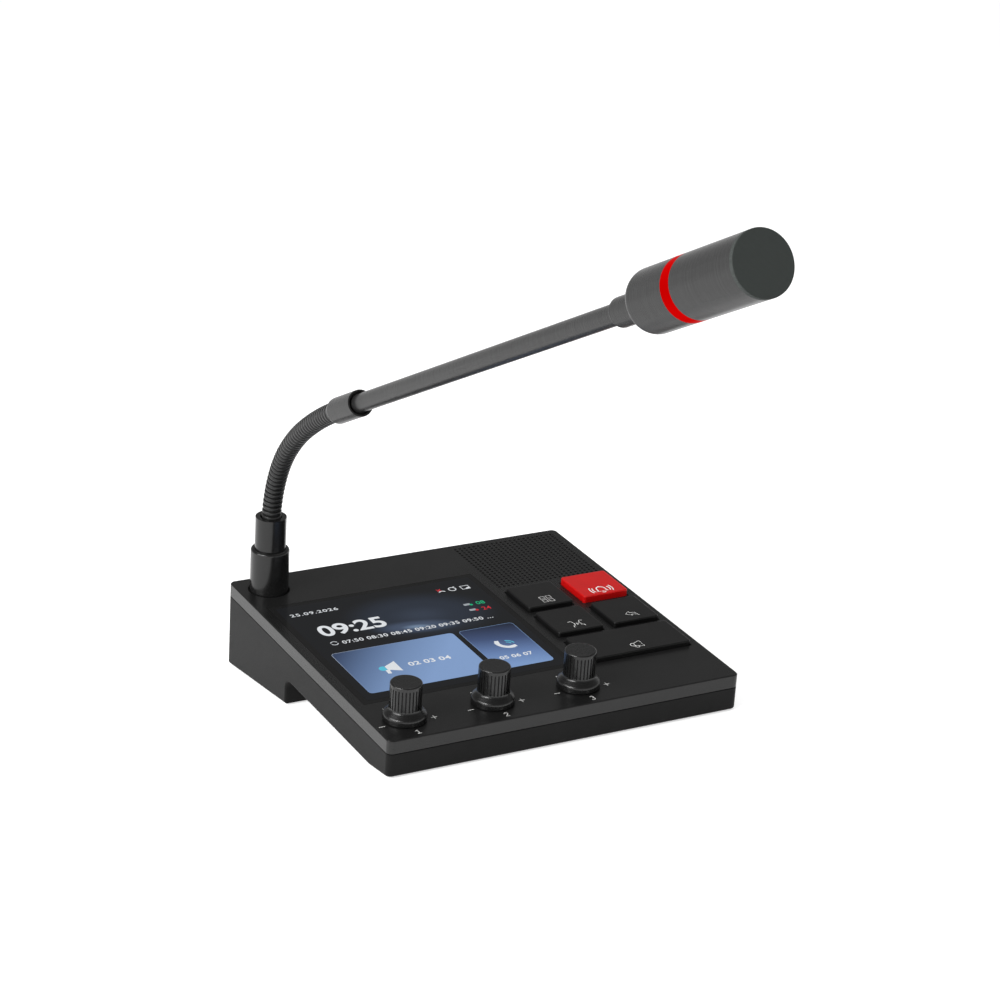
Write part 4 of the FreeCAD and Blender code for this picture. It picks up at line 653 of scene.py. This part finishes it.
def board_finish():
    """Circuit board: green mask over copper tracks."""
    finish, tree, shader = new_finish("green_circuit_board")
    where = place_on(tree, PANEL)
    tracks = add(
        tree,
        "ShaderNodeTexBrick",
        {
            "Vector": where,
            "Color1": (0.012, 0.12, 0.05, 1),
            "Color2": (0.015, 0.14, 0.06, 1),
            "Mortar": (0.03, 0.22, 0.09, 1),
            "Scale": 1.0,
            "Mortar Size": 0.14,
            "Brick Width": 7.0,
            "Row Height": 1.3,
        },
    )
    tree.links.new(tracks.outputs["Color"], shader.inputs["Base Color"])
    bumped(tree, shader, tracks.outputs["Fac"], 0.4, 0.03)
    shader.inputs["Roughness"].default_value = 0.35
    return finish


def steel_finish(name, shade, roughness, frame_matrix):
    """Bare or plated metal with fine brushed lines."""
    finish, tree, shader = new_finish(name)
    brushed = add(tree, "ShaderNodeMapping", {"Vector": place_on(tree, frame_matrix)})
    brushed.inputs["Scale"].default_value = (1, 12, 12)
    lines = speckled(tree, brushed.outputs["Vector"], 0.8, 3.0)
    set_tone(tree, shader, lines, shade, 0.1)
    set_sheen(tree, shader, lines, roughness - 0.06, roughness + 0.06)
    shader.inputs["Metallic"].default_value = 1.0
    bumped(tree, shader, lines, 0.15, 0.01)
    return finish


def rubber_finish():
    """Rubber feet: matt black with a fine ribbed grip."""
    finish, tree, shader = new_finish("black_rubber")
    where = place_on(tree, PANEL)
    set_tone(tree, shader, speckled(tree, where, 0.4, 5.0), grey(30), 0.2)
    set_gloss(shader, 0.15, 0.85)
    bumped(tree, shader, waves(tree, where, 0.4, "X"), 0.5, 0.15)
    return finish


def foam_finish(name, shade, scale, depth):
    """Foam, paper or felt: matt and open-celled."""
    finish, tree, shader = new_finish(name)
    where = place_on(tree, PANEL)
    cells = add(tree, "ShaderNodeTexVoronoi", {"Vector": where, "Scale": scale}).outputs["Distance"]
    set_tone(tree, shader, cells, shade, 0.25)
    set_gloss(shader, 0.05, 0.95)
    bumped(tree, shader, cells, 0.6, depth)
    return finish


FINISHES = {
    "case_top": case_top_finish(),
    "case_black": moulded("satin_case_black", grey(25), 0.5, 0.1),
    "glass_dark": glass_finish(),
    "screen": lit("display_backlight", plain_light(grey(30))),
    "board_green": board_finish(),
    "key_black": moulded("matt_key_black", grey(18), 0.34, 0.25, grain=0.25, grain_depth=0.01),
    "key_red": red_key_finish(),
    "knob_black": knob_finish(),
    "steel": steel_finish("plated_steel", (0.55, 0.55, 0.54, 1), 0.3, PANEL),
    "cone_paper": foam_finish("pressed_cone_paper", grey(24), 2.0, 0.05),
    "magnet_grey": moulded("sintered_magnet", grey(70), 0.6, 0.3, grain=0.6, grain_depth=0.04),
    "foam_black": foam_finish("gasket_foam", grey(16), 1.4, 0.15),
    "rubber_black": rubber_finish(),
    "insulator_black": moulded("moulded_insulator", grey(32), 0.45, 0.3, grain=0.4),
    "contact_brass": steel_finish("gilt_contacts", (0.8, 0.58, 0.22, 1), 0.25, SOCKET),
    "collar_black": painted_metal("satin_collar_black", grey(24), 0.2, 0.42, SOCKET),
    "neck_black": ribbed_finish(),
    "head_grey": painted_metal("satin_head_grey", grey(42), 0.28, 0.2, ARM),
    "ring_red": ring_finish(),
    "mesh_grey": mesh_finish(),
}

# the nodes that aren't finished in the case's own black
FINISHED_NODES = {
    "case_top": ["upper_shell"],
    "glass_dark": ["display_glass"],
    "screen": ["display_module"],
    "key_red": ["key_alert"],
    "collar_black": ["plug_shell", "neck_sleeve"],
    "head_grey": ["ferrule", "stem_tube", "head_boot", "head_rear_shell", "head_front_shell"],
    "ring_red": ["light_ring", "ring_leds"],
    "mesh_grey": ["front_mesh"],
    "rubber_black": ["front_foot", "rear_foot", "stem_lead", "capsule_holder"],
    "foam_black": ["speaker_gasket"],
    "cone_paper": ["speaker_cone"],
    "magnet_grey": ["speaker_magnet"],
    "contact_brass": ["socket_pins"],
    "steel": [
        "ballast_plate",
        "ballast_screws",
        "board_screws",
        "case_screws",
        "dial_nuts",
        "swivel_clip",
        "stem_nut",
        "speaker_basket",
        "capsule",
    ],
}
NODE_ENDINGS = {
    "_board": "board_green",
    "_switches": "insulator_black",
    "_encoders": "insulator_black",
    "_socket": "insulator_black",
    "_insert": "insulator_black",
    "_jack": "insulator_black",
}


def finish_of(node):
    """The finish of a CAD node, by its name, then by its kind."""
    for finish, nodes in FINISHED_NODES.items():
        if node in nodes:
            return finish
    if node.startswith("key_") and node != "key_board" and node != "key_switches":
        return "key_black"
    if node.startswith("knob_"):
        return "knob_black"
    if node.startswith("shaft_"):
        return "steel"
    for ending, finish in NODE_ENDINGS.items():
        if node.endswith(ending):
            return finish
    return "case_black"


for node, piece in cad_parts.items():
    for holder in piece.material_slots:
        holder.material = FINISHES[finish_of(node)]


# the gooseneck
def neck_path():
    """The gooseneck's centre line: a curve whose handles make true arcs, with a straight tail at each end."""
    curve = bpy.data.curves.new("neck_path", "CURVE")
    curve.dimensions = "3D"
    curve.twist_mode = "MINIMUM"
    curve.resolution_u = 64
    spline = curve.splines.new("BEZIER")
    headings = [Vector((0, -math.sin(lean), math.cos(lean))) for _, lean in KNOTS]
    points = [point for point, _ in KNOTS]
    points = [points[0] - headings[0] * NECK_TAIL, *points, points[-1] + headings[-1] * NECK_TAIL]
    headings = [headings[0], *headings, headings[-1]]
    reaches = [radius * math.tan(angle / 4) * 4 / 3 for radius, angle in NECK_BENDS]
    reaches = [NECK_TAIL / 3, NECK_TAIL / 3, *reaches, NECK_TAIL / 3, NECK_TAIL / 3]
    spline.bezier_points.add(len(points) - 1)
    for i, (spot, point, heading) in enumerate(zip(spline.bezier_points, points, headings)):
        spot.co = point
        spot.handle_left = point - heading * reaches[i]
        spot.handle_right = point + heading * reaches[i + 1]
    return new_object("neck_path", curve)


def grow_ring(rise, grow, height):
    """Extrudes the selected edge ring upwards and scales it about the axis."""
    bpy.ops.mesh.extrude_region_move(TRANSFORM_OT_translate={"value": (0, 0, rise)})
    bpy.ops.transform.resize(value=(grow, grow, 1), center_override=(0, 0, height))


def bend_along_neck(piece, path):
    """Bends an upright piece along the gooseneck's centre line."""
    bender = piece.modifiers.new("along_neck", "CURVE")
    bender.object = path
    bender.deform_axis = "POS_Z"
    pick(piece)
    bpy.ops.object.modifier_apply(modifier=bender.name)


def ribbed_gooseneck(path):
    """A ribbed metal hose: one rounded rib, repeated up the hose, with smooth tails and a bore."""
    hidden_ribs = 4
    ribs = round((NECK_LENGTH - 2 * NECK_TAIL) / RIB_PITCH) + hidden_ribs
    first = (NECK_LENGTH - ribs * RIB_PITCH) / 2
    steps = 12
    groove = 0.1
    fullness = 2.6
    shoulder = 0.3
    at_end = 0.01
    deselect()
    bpy.ops.mesh.primitive_circle_add(vertices=48, radius=NECK_ROOT, location=(0, 0, first))
    neck = bpy.context.object
    apply_place()
    open_edit("SELECT")
    radius, height = NECK_ROOT, first
    for step in range(1, steps + 1):
        reach = abs(step / steps - 0.5) / (0.5 - groove)
        swell = (1 - reach**fullness) ** (1 / fullness) if reach < 1 else 0
        next_radius = NECK_ROOT + (NECK_RADIUS - NECK_ROOT) * swell
        height += RIB_PITCH / steps
        grow_ring(RIB_PITCH / steps, next_radius / radius, height)
        radius = next_radius
    close_edit()
    stack = neck.modifiers.new("ribs", "ARRAY")
    stack.use_relative_offset = False
    stack.use_constant_offset = True
    stack.constant_offset_displace = (0, 0, RIB_PITCH)
    stack.count = ribs
    stack.use_merge_vertices = True
    stack.merge_threshold = 0.01
    bpy.ops.object.modifier_apply(modifier=stack.name)
    for end, heading in ((first, -1), (NECK_LENGTH - first, 1)):
        open_edit()
        pick_edges(neck, lambda middle, level=end: abs(middle.z - level) < 1e-3)
        grow_ring(heading * shoulder, NECK_RADIUS / NECK_ROOT, end + heading * shoulder)
        grow_ring(heading * (first - shoulder), 1, end + heading * first)
        grow_ring(0, NECK_BORE / NECK_RADIUS, end + heading * first)
        close_edit()
    open_edit()
    pick_edges(
        neck,
        lambda middle: middle.xy.length < NECK_BORE + 0.1
        and (middle.z < at_end or middle.z > NECK_LENGTH - at_end),
    )
    bpy.ops.mesh.bridge_edge_loops(number_cuts=48)
    turn_outwards()
    close_edit()
    crest = neck.data.attributes.new(CREST, "FLOAT", "POINT")
    for vertex, height in zip(neck.data.vertices, crest.data):
        height.value = (vertex.co.xy.length - NECK_ROOT) / (NECK_RADIUS - NECK_ROOT)
    bend_along_neck(neck, path)
    bpy.ops.object.shade_smooth_by_angle(angle=math.radians(40))
    return neck


def neck_lead(path, low, length):
    """The screened lead inside the hose."""
    deselect()
    bpy.ops.mesh.primitive_circle_add(vertices=16, radius=LEAD_RADIUS, fill_type="NGON", location=(0, 0, low))
    lead = bpy.context.object
    apply_place()
    open_edit("SELECT")
    steps = 60
    for _ in range(steps):
        bpy.ops.mesh.extrude_region_move(TRANSFORM_OT_translate={"value": (0, 0, length / steps)})
    turn_outwards()
    close_edit()
    bend_along_neck(lead, path)
    bpy.ops.object.shade_smooth_by_angle(angle=math.radians(40))
    return lead


def bend_with_neck(piece, name, finish, node):
    """A piece that follows the gooseneck from its fixed end to the stem."""
    dress(piece, name, Matrix.Scale(MM, 4), finish)
    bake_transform(piece)
    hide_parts(node)


path = neck_path()
bend_with_neck(ribbed_gooseneck(path), "gooseneck_hose", FINISHES["neck_black"], "gooseneck")
bend_with_neck(
    neck_lead(path, -LEAD_BELOW, NECK_LENGTH + LEAD_BELOW + LEAD_ABOVE),
    "gooseneck_lead",
    FINISHES["rubber_black"],
    "neck_lead",
)
bpy.data.objects.remove(path)

# the display: a lit ground under the glass's gloss, two tiles, and plain figures and marks
SCREEN_LEVEL = 0.01
TILE_LEVEL = 0.05
MARK_LEVEL = 0.09
MARK = 0.03
WHITE_LIGHT = lit("white_marks", plain_light(colour(226, 229, 232)))
SOFT_WHITE_LIGHT = lit("soft_white_marks", plain_light(colour(210, 214, 219)))
GREY_LIGHT = lit("grey_marks", plain_light(colour(160, 166, 172)))
GREEN_LIGHT = lit("green_marks", plain_light(colour(36, 176, 122)))
RED_LIGHT = lit("red_marks", plain_light(colour(206, 48, 58)))
CYAN_LIGHT = lit("cyan_marks", plain_light(colour(92, 190, 214)))
RIM_LIGHT = lit(
    "tile_rims",
    sloping_light(
        (-85, 96),
        (-60, 60),
        [(0.0, colour(178, 190, 208)), (0.5, colour(128, 148, 184)), (1.0, colour(128, 158, 200))],
    ),
)
SCREEN_GROUND = lit("screen_ground", screen_light)
WIDE_TILE_GROUND = lit(
    "wide_tile_ground",
    sloping_light(
        (-86, 92),
        (-46, 58),
        [
            (0.0, colour(58, 72, 100)),
            (0.3, colour(92, 114, 150)),
            (0.6, colour(116, 142, 182)),
            (1.0, colour(132, 160, 203)),
        ],
    ),
)
NARROW_TILE_GROUND = lit(
    "narrow_tile_ground",
    sloping_light(
        (14, 96),
        (4, 51),
        [
            (0.0, colour(36, 42, 60)),
            (0.35, colour(66, 82, 118)),
            (0.7, colour(104, 130, 176)),
            (1.0, colour(126, 156, 202)),
        ],
    ),
)


def on_case(piece, name, finish):
    return finish_piece(piece, name, PANEL, finish, "case")


def on_screen(piece, name, light):
    return on_case(piece, name, light)


SCREEN_INSET = 3.4
GLASS_LEFT = -94.25
GLASS_RIGHT = 26.75
on_screen(
    rounded_plate(
        GLASS_LEFT + SCREEN_INSET,
        GLASS_RIGHT - SCREEN_INSET,
        GLASS_FRONT + SCREEN_INSET,
        GLASS_REAR - SCREEN_INSET,
        0.8,
        SCREEN_LEVEL,
        MARK,
    ),
    "screen_picture",
    SCREEN_GROUND,
)
TILES = {
    "wide_tile": ((-86.25, -16.5, 49.5, 96.5), WIDE_TILE_GROUND),
    "narrow_tile": ((-12.9, 18.75, 49.5, 96.5), NARROW_TILE_GROUND),
}
TILE_CORNER = 2.2


def tile_rim(left, right, front, rear):
    """The thin light outline of a tile, round its corners."""
    corner = TILE_CORNER
    points = []
    for x, y, first in (
        (right - corner, front + corner, -90),
        (right - corner, rear - corner, 0),
        (left + corner, rear - corner, 90),
        (left + corner, front + corner, 180),
    ):
        points.extend(arc(x, y, corner, first, first + 90, 6))
    return drawn([points + points[:1]], 0.24, MARK_LEVEL, MARK)


for name, (place, light) in TILES.items():
    on_screen(rounded_plate(*place, TILE_CORNER, TILE_LEVEL, MARK), name, light)
    on_screen(tile_rim(*place), name + "_rim", RIM_LIGHT)

COMING_TIMES = "07:50 08:30 08:45 09:20 09:35 09:50 ..."
# name: the figures, their front left corner, height, weight, spacing, widening and light
SCREEN_FIGURES = {
    "clock_figures": ("09:25", -80.9, 115.9, 12.5, 0.022, 1.0, 1.04, WHITE_LIGHT),
    "date_figures": ("25.09.2026", -86.9, 143.2, 3.1, 0.008, 1.15, 1.25, WHITE_LIGHT),
    "coming_times": (COMING_TIMES, -74.6, 105.2, 3.4, 0.012, 1.1, 1.07, WHITE_LIGHT),
    "wide_tile_figures": ("02 03 04", -54, 69.9, 4.0, 0.022, 1.05, 1.2, WHITE_LIGHT),
    "narrow_tile_figures": ("05 06 07", -7, 59.3, 3.5, 0.022, 1.05, 1.1, WHITE_LIGHT),
    "online_figures": ("08", 12.3, 122.6, 3.6, 0.01, 1.05, 1.0, GREEN_LIGHT),
    "offline_figures": ("24", 12.3, 115.5, 3.6, 0.01, 1.05, 1.0, RED_LIGHT),
}
for name, (figures, left, front, size, weight, spacing, wide, light) in SCREEN_FIGURES.items():
    piece = numerals(figures, left, front, size, MARK_LEVEL, weight, spacing, wide, MARK)
    on_screen(piece, name, light)


def turning_mark(x, y, size):
    """Two arcs that chase each other."""
    return drawn([arc(x, y, size, 20, 165), arc(x, y, size, 200, 345)], size * 0.3, MARK_LEVEL, MARK)


def status_marks():
    """A ring with a spur, and a small screen with its lower corner filled."""
    strokes = [ring(8.3, 144.6, 2.0), [(9.6, 146.2), (10.4, 147.2)]]
    left, right, front, rear = 13.6, 18.2, 142.4, 146.2
    strokes.append(box_outline(left, right, front, rear))
    strokes.append([(left + 2.0, front + 0.5), (right - 0.3, front + 0.5)])
    strokes.append([(left + 2.8, front + 1.1), (right - 0.3, front + 1.1)])
    return drawn(strokes, 0.62, MARK_LEVEL, MARK)


def cross_mark(x, y, reach):
    """A cross, for a line that is off."""
    rising = [(x - reach, y - reach), (x + reach, y + reach)]
    falling = [(x - reach, y + reach), (x + reach, y - reach)]
    return drawn([rising, falling], 0.6, MARK_LEVEL, MARK)


def device_mark(y, name, light):
    """A small device with a coloured light at its lower corner."""
    on_screen(rounded_plate(4.9, 8.7, y - 0.8, y + 1.3, 0.4, MARK_LEVEL, MARK), name + "_device", GREY_LIGHT)
    spot = cut_out([ring(8.9, y - 0.7, 0.95)[:-1]], MARK_LEVEL + MARK + 0.01, MARK)
    on_screen(spot, name + "_light", light)


def handset_mark(x, y, size):
    """A telephone handset: a bowed grip between two blunt ends, open to the rear right."""
    grip = drawn([arc(x, y, size, 168, 282, 16)], size * 0.4, MARK_LEVEL, MARK)
    ends = []
    for angle in (170, 280):
        aim = Vector((math.cos(math.radians(angle)), math.sin(math.radians(angle))))
        near_end = Vector((x, y)) + aim * size * 0.74
        far_end = Vector((x, y)) + aim * size * 1.12
        ends.append([tuple(near_end), tuple(far_end)])
    return joined(grip, drawn(ends, size * 0.58, MARK_LEVEL, MARK))


def horn_mark(x, y):
    """A loud-hailer: its flared horn and its grip."""
    horn = [(x - 1.6, y + 1.9), (x - 1.6, y - 1.9), (x + 5.4, y - 5.4), (x + 5.4, y + 5.8)]
    grip = [(x - 3.0, y - 1.9), (x - 0.7, y - 2.4), (x - 1.3, y - 6.3), (x - 3.2, y - 6.0)]
    return cut_out([horn, grip], MARK_LEVEL, MARK)


def horn_back(x, y):
    outline = [(x - 1.8, y + 1.9), *arc(x - 3.2, y, 2.4, 75, 285, 12), (x - 1.8, y - 1.9)]
    return cut_out([outline], MARK_LEVEL, MARK)


on_screen(turning_mark(-78.9, 107.4, 1.9), "turning_mark", SOFT_WHITE_LIGHT)
on_screen(status_marks(), "status_marks", WHITE_LIGHT)
on_screen(drawn([arc(1.6, 142.2, 2.0, 30, 150, 8)], 0.8, MARK_LEVEL, MARK), "line_mark", WHITE_LIGHT)
on_screen(cross_mark(0.7, 145.6, 1.2), "line_off_mark", RED_LIGHT)
device_mark(124.2, "online", GREEN_LIGHT)
device_mark(117.4, "offline", RED_LIGHT)
on_screen(horn_mark(-64.9, 72.1), "wide_tile_horn", WHITE_LIGHT)
on_screen(horn_back(-64.9, 72.1), "wide_tile_horn_back", CYAN_LIGHT)
on_screen(handset_mark(5.6, 76.8, 6.0), "narrow_tile_handset", WHITE_LIGHT)
on_screen(
    drawn([arc(4.6, 74.4, 2.2, 5, 85, 8), arc(4.6, 74.4, 4.0, 5, 85, 8)], 0.75, MARK_LEVEL, MARK),
    "narrow_tile_sound",
    CYAN_LIGHT,
)

# prints on the panel: a minus, a plus, a tick and a plain number at each knob
PRINT_LEVEL = -0.005
PRINT = 0.03
PRINT_WHITE = ink_finish("white_print", colour(226, 226, 224))
TICK_ANGLE = math.radians(113.5)
NUMBER_SIZE = 3.4
NUMBER_FRONT = 3.2


def dial_marks(x):
    sign_y = DIAL_Y - 4
    tick = Vector((math.cos(TICK_ANGLE), math.sin(TICK_ANGLE)))
    middle = Vector((x, DIAL_Y))
    strokes = [
        [(x - 15.9, sign_y), (x - 12.6, sign_y)],
        [(x + 12.5, sign_y), (x + 15.9, sign_y)],
        [(x + 14.2, sign_y - 1.8), (x + 14.2, sign_y + 1.8)],
        [tuple(middle + tick * 11.8), tuple(middle + tick * 14.2)],
    ]
    return drawn(strokes, 0.44, PRINT_LEVEL, PRINT)


# the three plain numbers, drawn one unit high about their foot's middle
DIAL_NUMBERS = {
    1: [[(-0.28, 0.72), (0.06, 1.0), (0.06, 0.0)], [(-0.26, 0.0), (0.36, 0.0)]],
    2: [[*arc(0, 0.72, 0.28, 165, -35, 10), (-0.3, 0.0), (0.32, 0.0)]],
    3: [arc(0, 0.74, 0.26, 155, -90, 10), arc(0, 0.24, 0.28, 80, -155, 10)],
}


for number in range(1, 4):
    x = DIAL_FIRST + DIAL_PITCH * (number - 1)
    on_case(dial_marks(x), f"dial_{number}_marks", PRINT_WHITE)
    figure = scaled(DIAL_NUMBERS[number], x, NUMBER_FRONT, NUMBER_SIZE)
    on_case(drawn(figure, 0.44, PRINT_LEVEL, PRINT), f"dial_{number}_number", PRINT_WHITE)

# prints on the keys
KEY_PRINT = ink_finish("key_print", colour(240, 240, 238))
KEY_PRINT_SUNK = 0.01
KEY_RELIEF = 0.04
KEY_TOP = 2.6
ALERT_KEY_TOP = 3.5


def on_key(strokes, key_top, name, body, width=0.38):
    piece = drawn(strokes, width, key_top - KEY_PRINT_SUNK, KEY_RELIEF)
    return finish_piece(piece, name, PANEL, KEY_PRINT, body)


def zone_marks(x, y):
    """Four squares, for the paging zones."""
    cell = 2.7
    reach = 1.95
    strokes = []
    for side in (-reach, reach):
        for depth in (-reach, reach):
            left = x + side - cell / 2
            front = y + depth - cell / 2
            strokes.append(box_outline(left, left + cell, front, front + cell))
    return strokes


def talk_marks(x, y):
    """Two faces turned to each other with sound between them."""
    face = [(3.6, 2.6), (2.0, 2.9), (1.5, 1.3), (1.0, 0.6), (1.6, 0.2), (1.5, -1.1), (2.6, -1.3), (2.8, -2.8)]
    mirrored = [(-spot[0], spot[1]) for spot in face]
    sounds = [[(-0.25, -1.0), (-0.25, 1.0)], [(0.35, -0.5), (0.35, 0.5)]]
    return scaled([face, mirrored, *sounds], x, y, 1.2)


def back_marks(x, y):
    """An outlined arrow that turns back to the left."""
    arrow = [
        (-3.4, 0.7),
        (-0.6, 3.2),
        (-0.6, 1.7),
        (2.0, 1.1),
        (3.4, -2.6),
        (1.6, -0.8),
        (-0.6, -0.4),
        (-0.6, -1.9),
    ]
    return scaled([arrow + arrow[:1]], x, y, 1)


def page_marks(x, y):
    """An outlined loud-hailer: horn, round back and grip."""
    horn = [(-1.0, -1.1), (2.8, -2.8), (2.8, 2.9), (-1.0, 1.3), (-1.0, -1.1)]
    back = [(-1.0, 1.3), *arc(-1.6, 0.1, 1.4, 100, 260, 8), (-1.0, -1.1)]
    grip = [(-1.5, -1.3), (-1.1, -2.9), (0.2, -2.9), (0.2, -1.7)]
    return scaled([horn, back, grip], x, y, 1.15)


def bell_marks(x, y):
    """A ringing bell, for the alert."""
    dome = [(-2.9, -1.6), (-2.2, -0.6), (-2.2, 0.6), *arc(0, 0.8, 2.2, 180, 0, 12), (2.2, -0.6), (2.9, -1.6)]
    rings = [arc(0, 0.4, radius, first, first + 56, 8) for radius in (4.4, 5.8) for first in (-28, 152)]
    bell = [dome + dome[:1], arc(0, -2.1, 0.9, 200, 340, 6), [(0, 3.0), (0, 3.7)]]
    return scaled([*bell, *rings], x, y, 1.15)


on_key(zone_marks(47.8, 110.8), KEY_TOP, "zone_key_print", "zone_key", 0.34)
on_key(bell_marks(80.6, 109.0), ALERT_KEY_TOP, "alert_key_print", "alert_key", 0.7)
on_key(talk_marks(48.2, 78.0), KEY_TOP, "talk_key_print", "talk_key")
on_key(back_marks(81.5, 78.2), KEY_TOP, "back_key_print", "back_key")
on_key(page_marks(64.9, 45.3), KEY_TOP, "page_key_print", "page_key")


# a near-black ring in the gap round the microphone's lower collar, put in to darken the gap as painted shade
SEAL_RADIUS = 10.83
SEAL_SECTION = 0.44
SEAL_LEVEL = -0.4
# painted shade: grey 9 for the ring that darkens the gap
GAP_SHADE_BLACK = moulded("gap_shade_black", grey(9), 0.8, 0.1)


def seal_ring():
    """A round ring, a little flattened underneath."""
    deselect()
    bpy.ops.mesh.primitive_torus_add(
        location=(0, 0, SEAL_LEVEL),
        major_radius=SEAL_RADIUS,
        minor_radius=SEAL_SECTION,
        major_segments=96,
        minor_segments=14,
    )
    apply_place()
    seal = bpy.context.object
    lower_half = SEAL_LEVEL - SEAL_SECTION / 3
    open_edit()
    pick_edges(seal, lambda middle: middle.z < lower_half)
    bpy.ops.transform.resize(value=(1, 1, 0.6), center_override=(0, 0, SEAL_LEVEL))
    turn_outwards()
    close_edit()
    bpy.ops.object.shade_smooth()
    return seal


finish_piece(seal_ring(), "collar_gap_shade_ring", SOCKET, GAP_SHADE_BLACK, "case")

# the network jack's contacts: how far in from its mouth and down from the port's roof each wire runs
CONTACT_COUNT = 8
CONTACT_PITCH = 1.02
CONTACT_WIDTH = 0.34
CONTACT_ROUTE = ((12, 0.15), (9.5, 0.3), (4.0, 2.6), (3.2, 2.6), (2.2, 0.2))
JACK_MOUTH = CASE_LENGTH - 1.3
PORT_ROOF = -26.6


def network_contacts():
    """Gilt wires that slope forward from the roof of the port."""
    low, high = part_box("network_jack")
    first = (low.x + high.x) / 2 / MM - (CONTACT_COUNT - 1) / 2 * CONTACT_PITCH
    wires = []
    for number in range(CONTACT_COUNT):
        x = first + number * CONTACT_PITCH
        wires.append([(x, JACK_MOUTH - inward, PORT_ROOF - drop) for inward, drop in CONTACT_ROUTE])
    return traced(wires, "3D", bevel_depth=CONTACT_WIDTH / 2, bevel_resolution=1, use_fill_caps=True)


on_case(network_contacts(), "network_contacts", FINISHES["contact_brass"])


# floor, light and camera
FLOOR_LIFT = 0.6
# how bright the sky is that gloss mirrors, at heights from the horizon up
MIRRORED_SKY = ((0.0, 1.0), (0.04, 1.0), (0.16, 0.6), (0.36, 0.28), (0.7, 0.15))


def pale_floor():
    """A white floor that keeps the soft shadow. The camera and mirrors see it near white."""
    finish = bpy.data.materials.new("pale_floor")
    finish.use_nodes = True
    tree = finish.node_tree
    tree.nodes.clear()
    rays = add(tree, "ShaderNodeLightPath")
    seen = maths(tree, "MAXIMUM", rays.outputs["Is Camera Ray"], rays.outputs["Is Glossy Ray"])
    seen = maths(tree, "MAXIMUM", seen, rays.outputs["Is Transmission Ray"])
    lift = maths(tree, "MULTIPLY", seen, FLOOR_LIFT)
    matt = add(tree, "ShaderNodeBsdfDiffuse", {"Color": grey_value(0.8)})
    glow = add(tree, "ShaderNodeEmission", {"Color": grey_value(1.0), "Strength": lift})
    both = add(tree, "ShaderNodeAddShader", {0: matt.outputs["BSDF"], 1: glow.outputs["Emission"]})
    out = add(tree, "ShaderNodeOutputMaterial")
    tree.links.new(both.outputs["Shader"], out.inputs["Surface"])
    deselect()
    bpy.ops.mesh.primitive_plane_add(size=30, location=(0, 0, cad_low.z))
    floor = bpy.context.object
    floor.name = "floor"
    apply_place()
    floor.data.materials.append(finish)


def background(tree, shade, strength):
    return add(tree, "ShaderNodeBackground", {"Color": shade, "Strength": strength}).outputs["Background"]


def either(tree, share, first, second):
    """The first shader where the share is 0, and the second where it is 1."""
    return add(tree, "ShaderNodeMixShader", {"Fac": share, 1: first, 2: second}).outputs["Shader"]


def studio_world():
    """White to the camera. What gloss mirrors is white at the horizon and darker overhead."""
    world = bpy.data.worlds.new("studio")
    bpy.context.scene.world = world
    world.use_nodes = True
    tree = world.node_tree
    tree.nodes.clear()
    rays = add(tree, "ShaderNodeLightPath")
    mirrored = maths(tree, "MAXIMUM", rays.outputs["Is Glossy Ray"], rays.outputs["Is Transmission Ray"])
    where = add(tree, "ShaderNodeTexCoord").outputs["Generated"]
    sky = ramp(tree, axes(tree, where)["Z"], [(height, grey_value(level)) for height, level in MIRRORED_SKY])
    soft_light = background(tree, grey_value(1.0), 0.5)
    mirrored_sky = background(tree, sky, 1.0)
    seen_sky = background(tree, grey_value(1.0), 1.0)
    around = either(tree, mirrored, soft_light, mirrored_sky)
    whole = either(tree, rays.outputs["Is Camera Ray"], around, seen_sky)
    out = add(tree, "ShaderNodeOutputWorld")
    tree.links.new(whole, out.inputs["Surface"])


def soft_lamp(name, place, target, size, power):
    lamp = bpy.data.lights.new(name, "AREA")
    lamp.shape = "RECTANGLE"
    lamp.size, lamp.size_y = size
    lamp.energy = power
    holder = new_object(name, lamp)
    place = Vector(place)
    holder.location = place
    holder.rotation_euler = (Vector(target) - place).to_track_quat("-Z", "Y").to_euler()
    holder.visible_camera = False


def photo_camera():
    """The photograph's own viewpoint, worked out from the case's corners."""
    azimuth = math.radians(28.109)
    elevation = math.radians(15.848)
    roll = math.radians(-0.4967)
    camera = bpy.data.cameras.new("photo_camera")
    camera.lens = 102.747
    camera.sensor_width = 36
    camera.clip_start = 0.05
    camera.clip_end = 50
    holder = new_object("photo_camera", camera)
    holder.matrix_world = (
        Matrix.Translation((-0.65908, -1.3242, 0.50662))
        @ Matrix.Rotation(-azimuth, 4, "Z")
        @ Matrix.Rotation(math.pi / 2 - elevation, 4, "X")
        @ Matrix.Rotation(roll, 4, "Z")
    )
    bpy.context.scene.camera = holder


bpy.context.scene.view_settings.view_transform = "Standard"
pale_floor()
studio_world()
middle = (cad_low + cad_high) / 2
soft_lamp("left_softbox", (-1.5, -0.3, 0.9), middle, (1.2, 1.0), 17.5)
soft_lamp("overhead_softbox", (0.2, 0.3, 1.6), middle, (1.4, 1.4), 4)
soft_lamp("edge_light", (-1.35, -0.75, 0.95), middle, (0.7, 0.12), 11)
photo_camera()
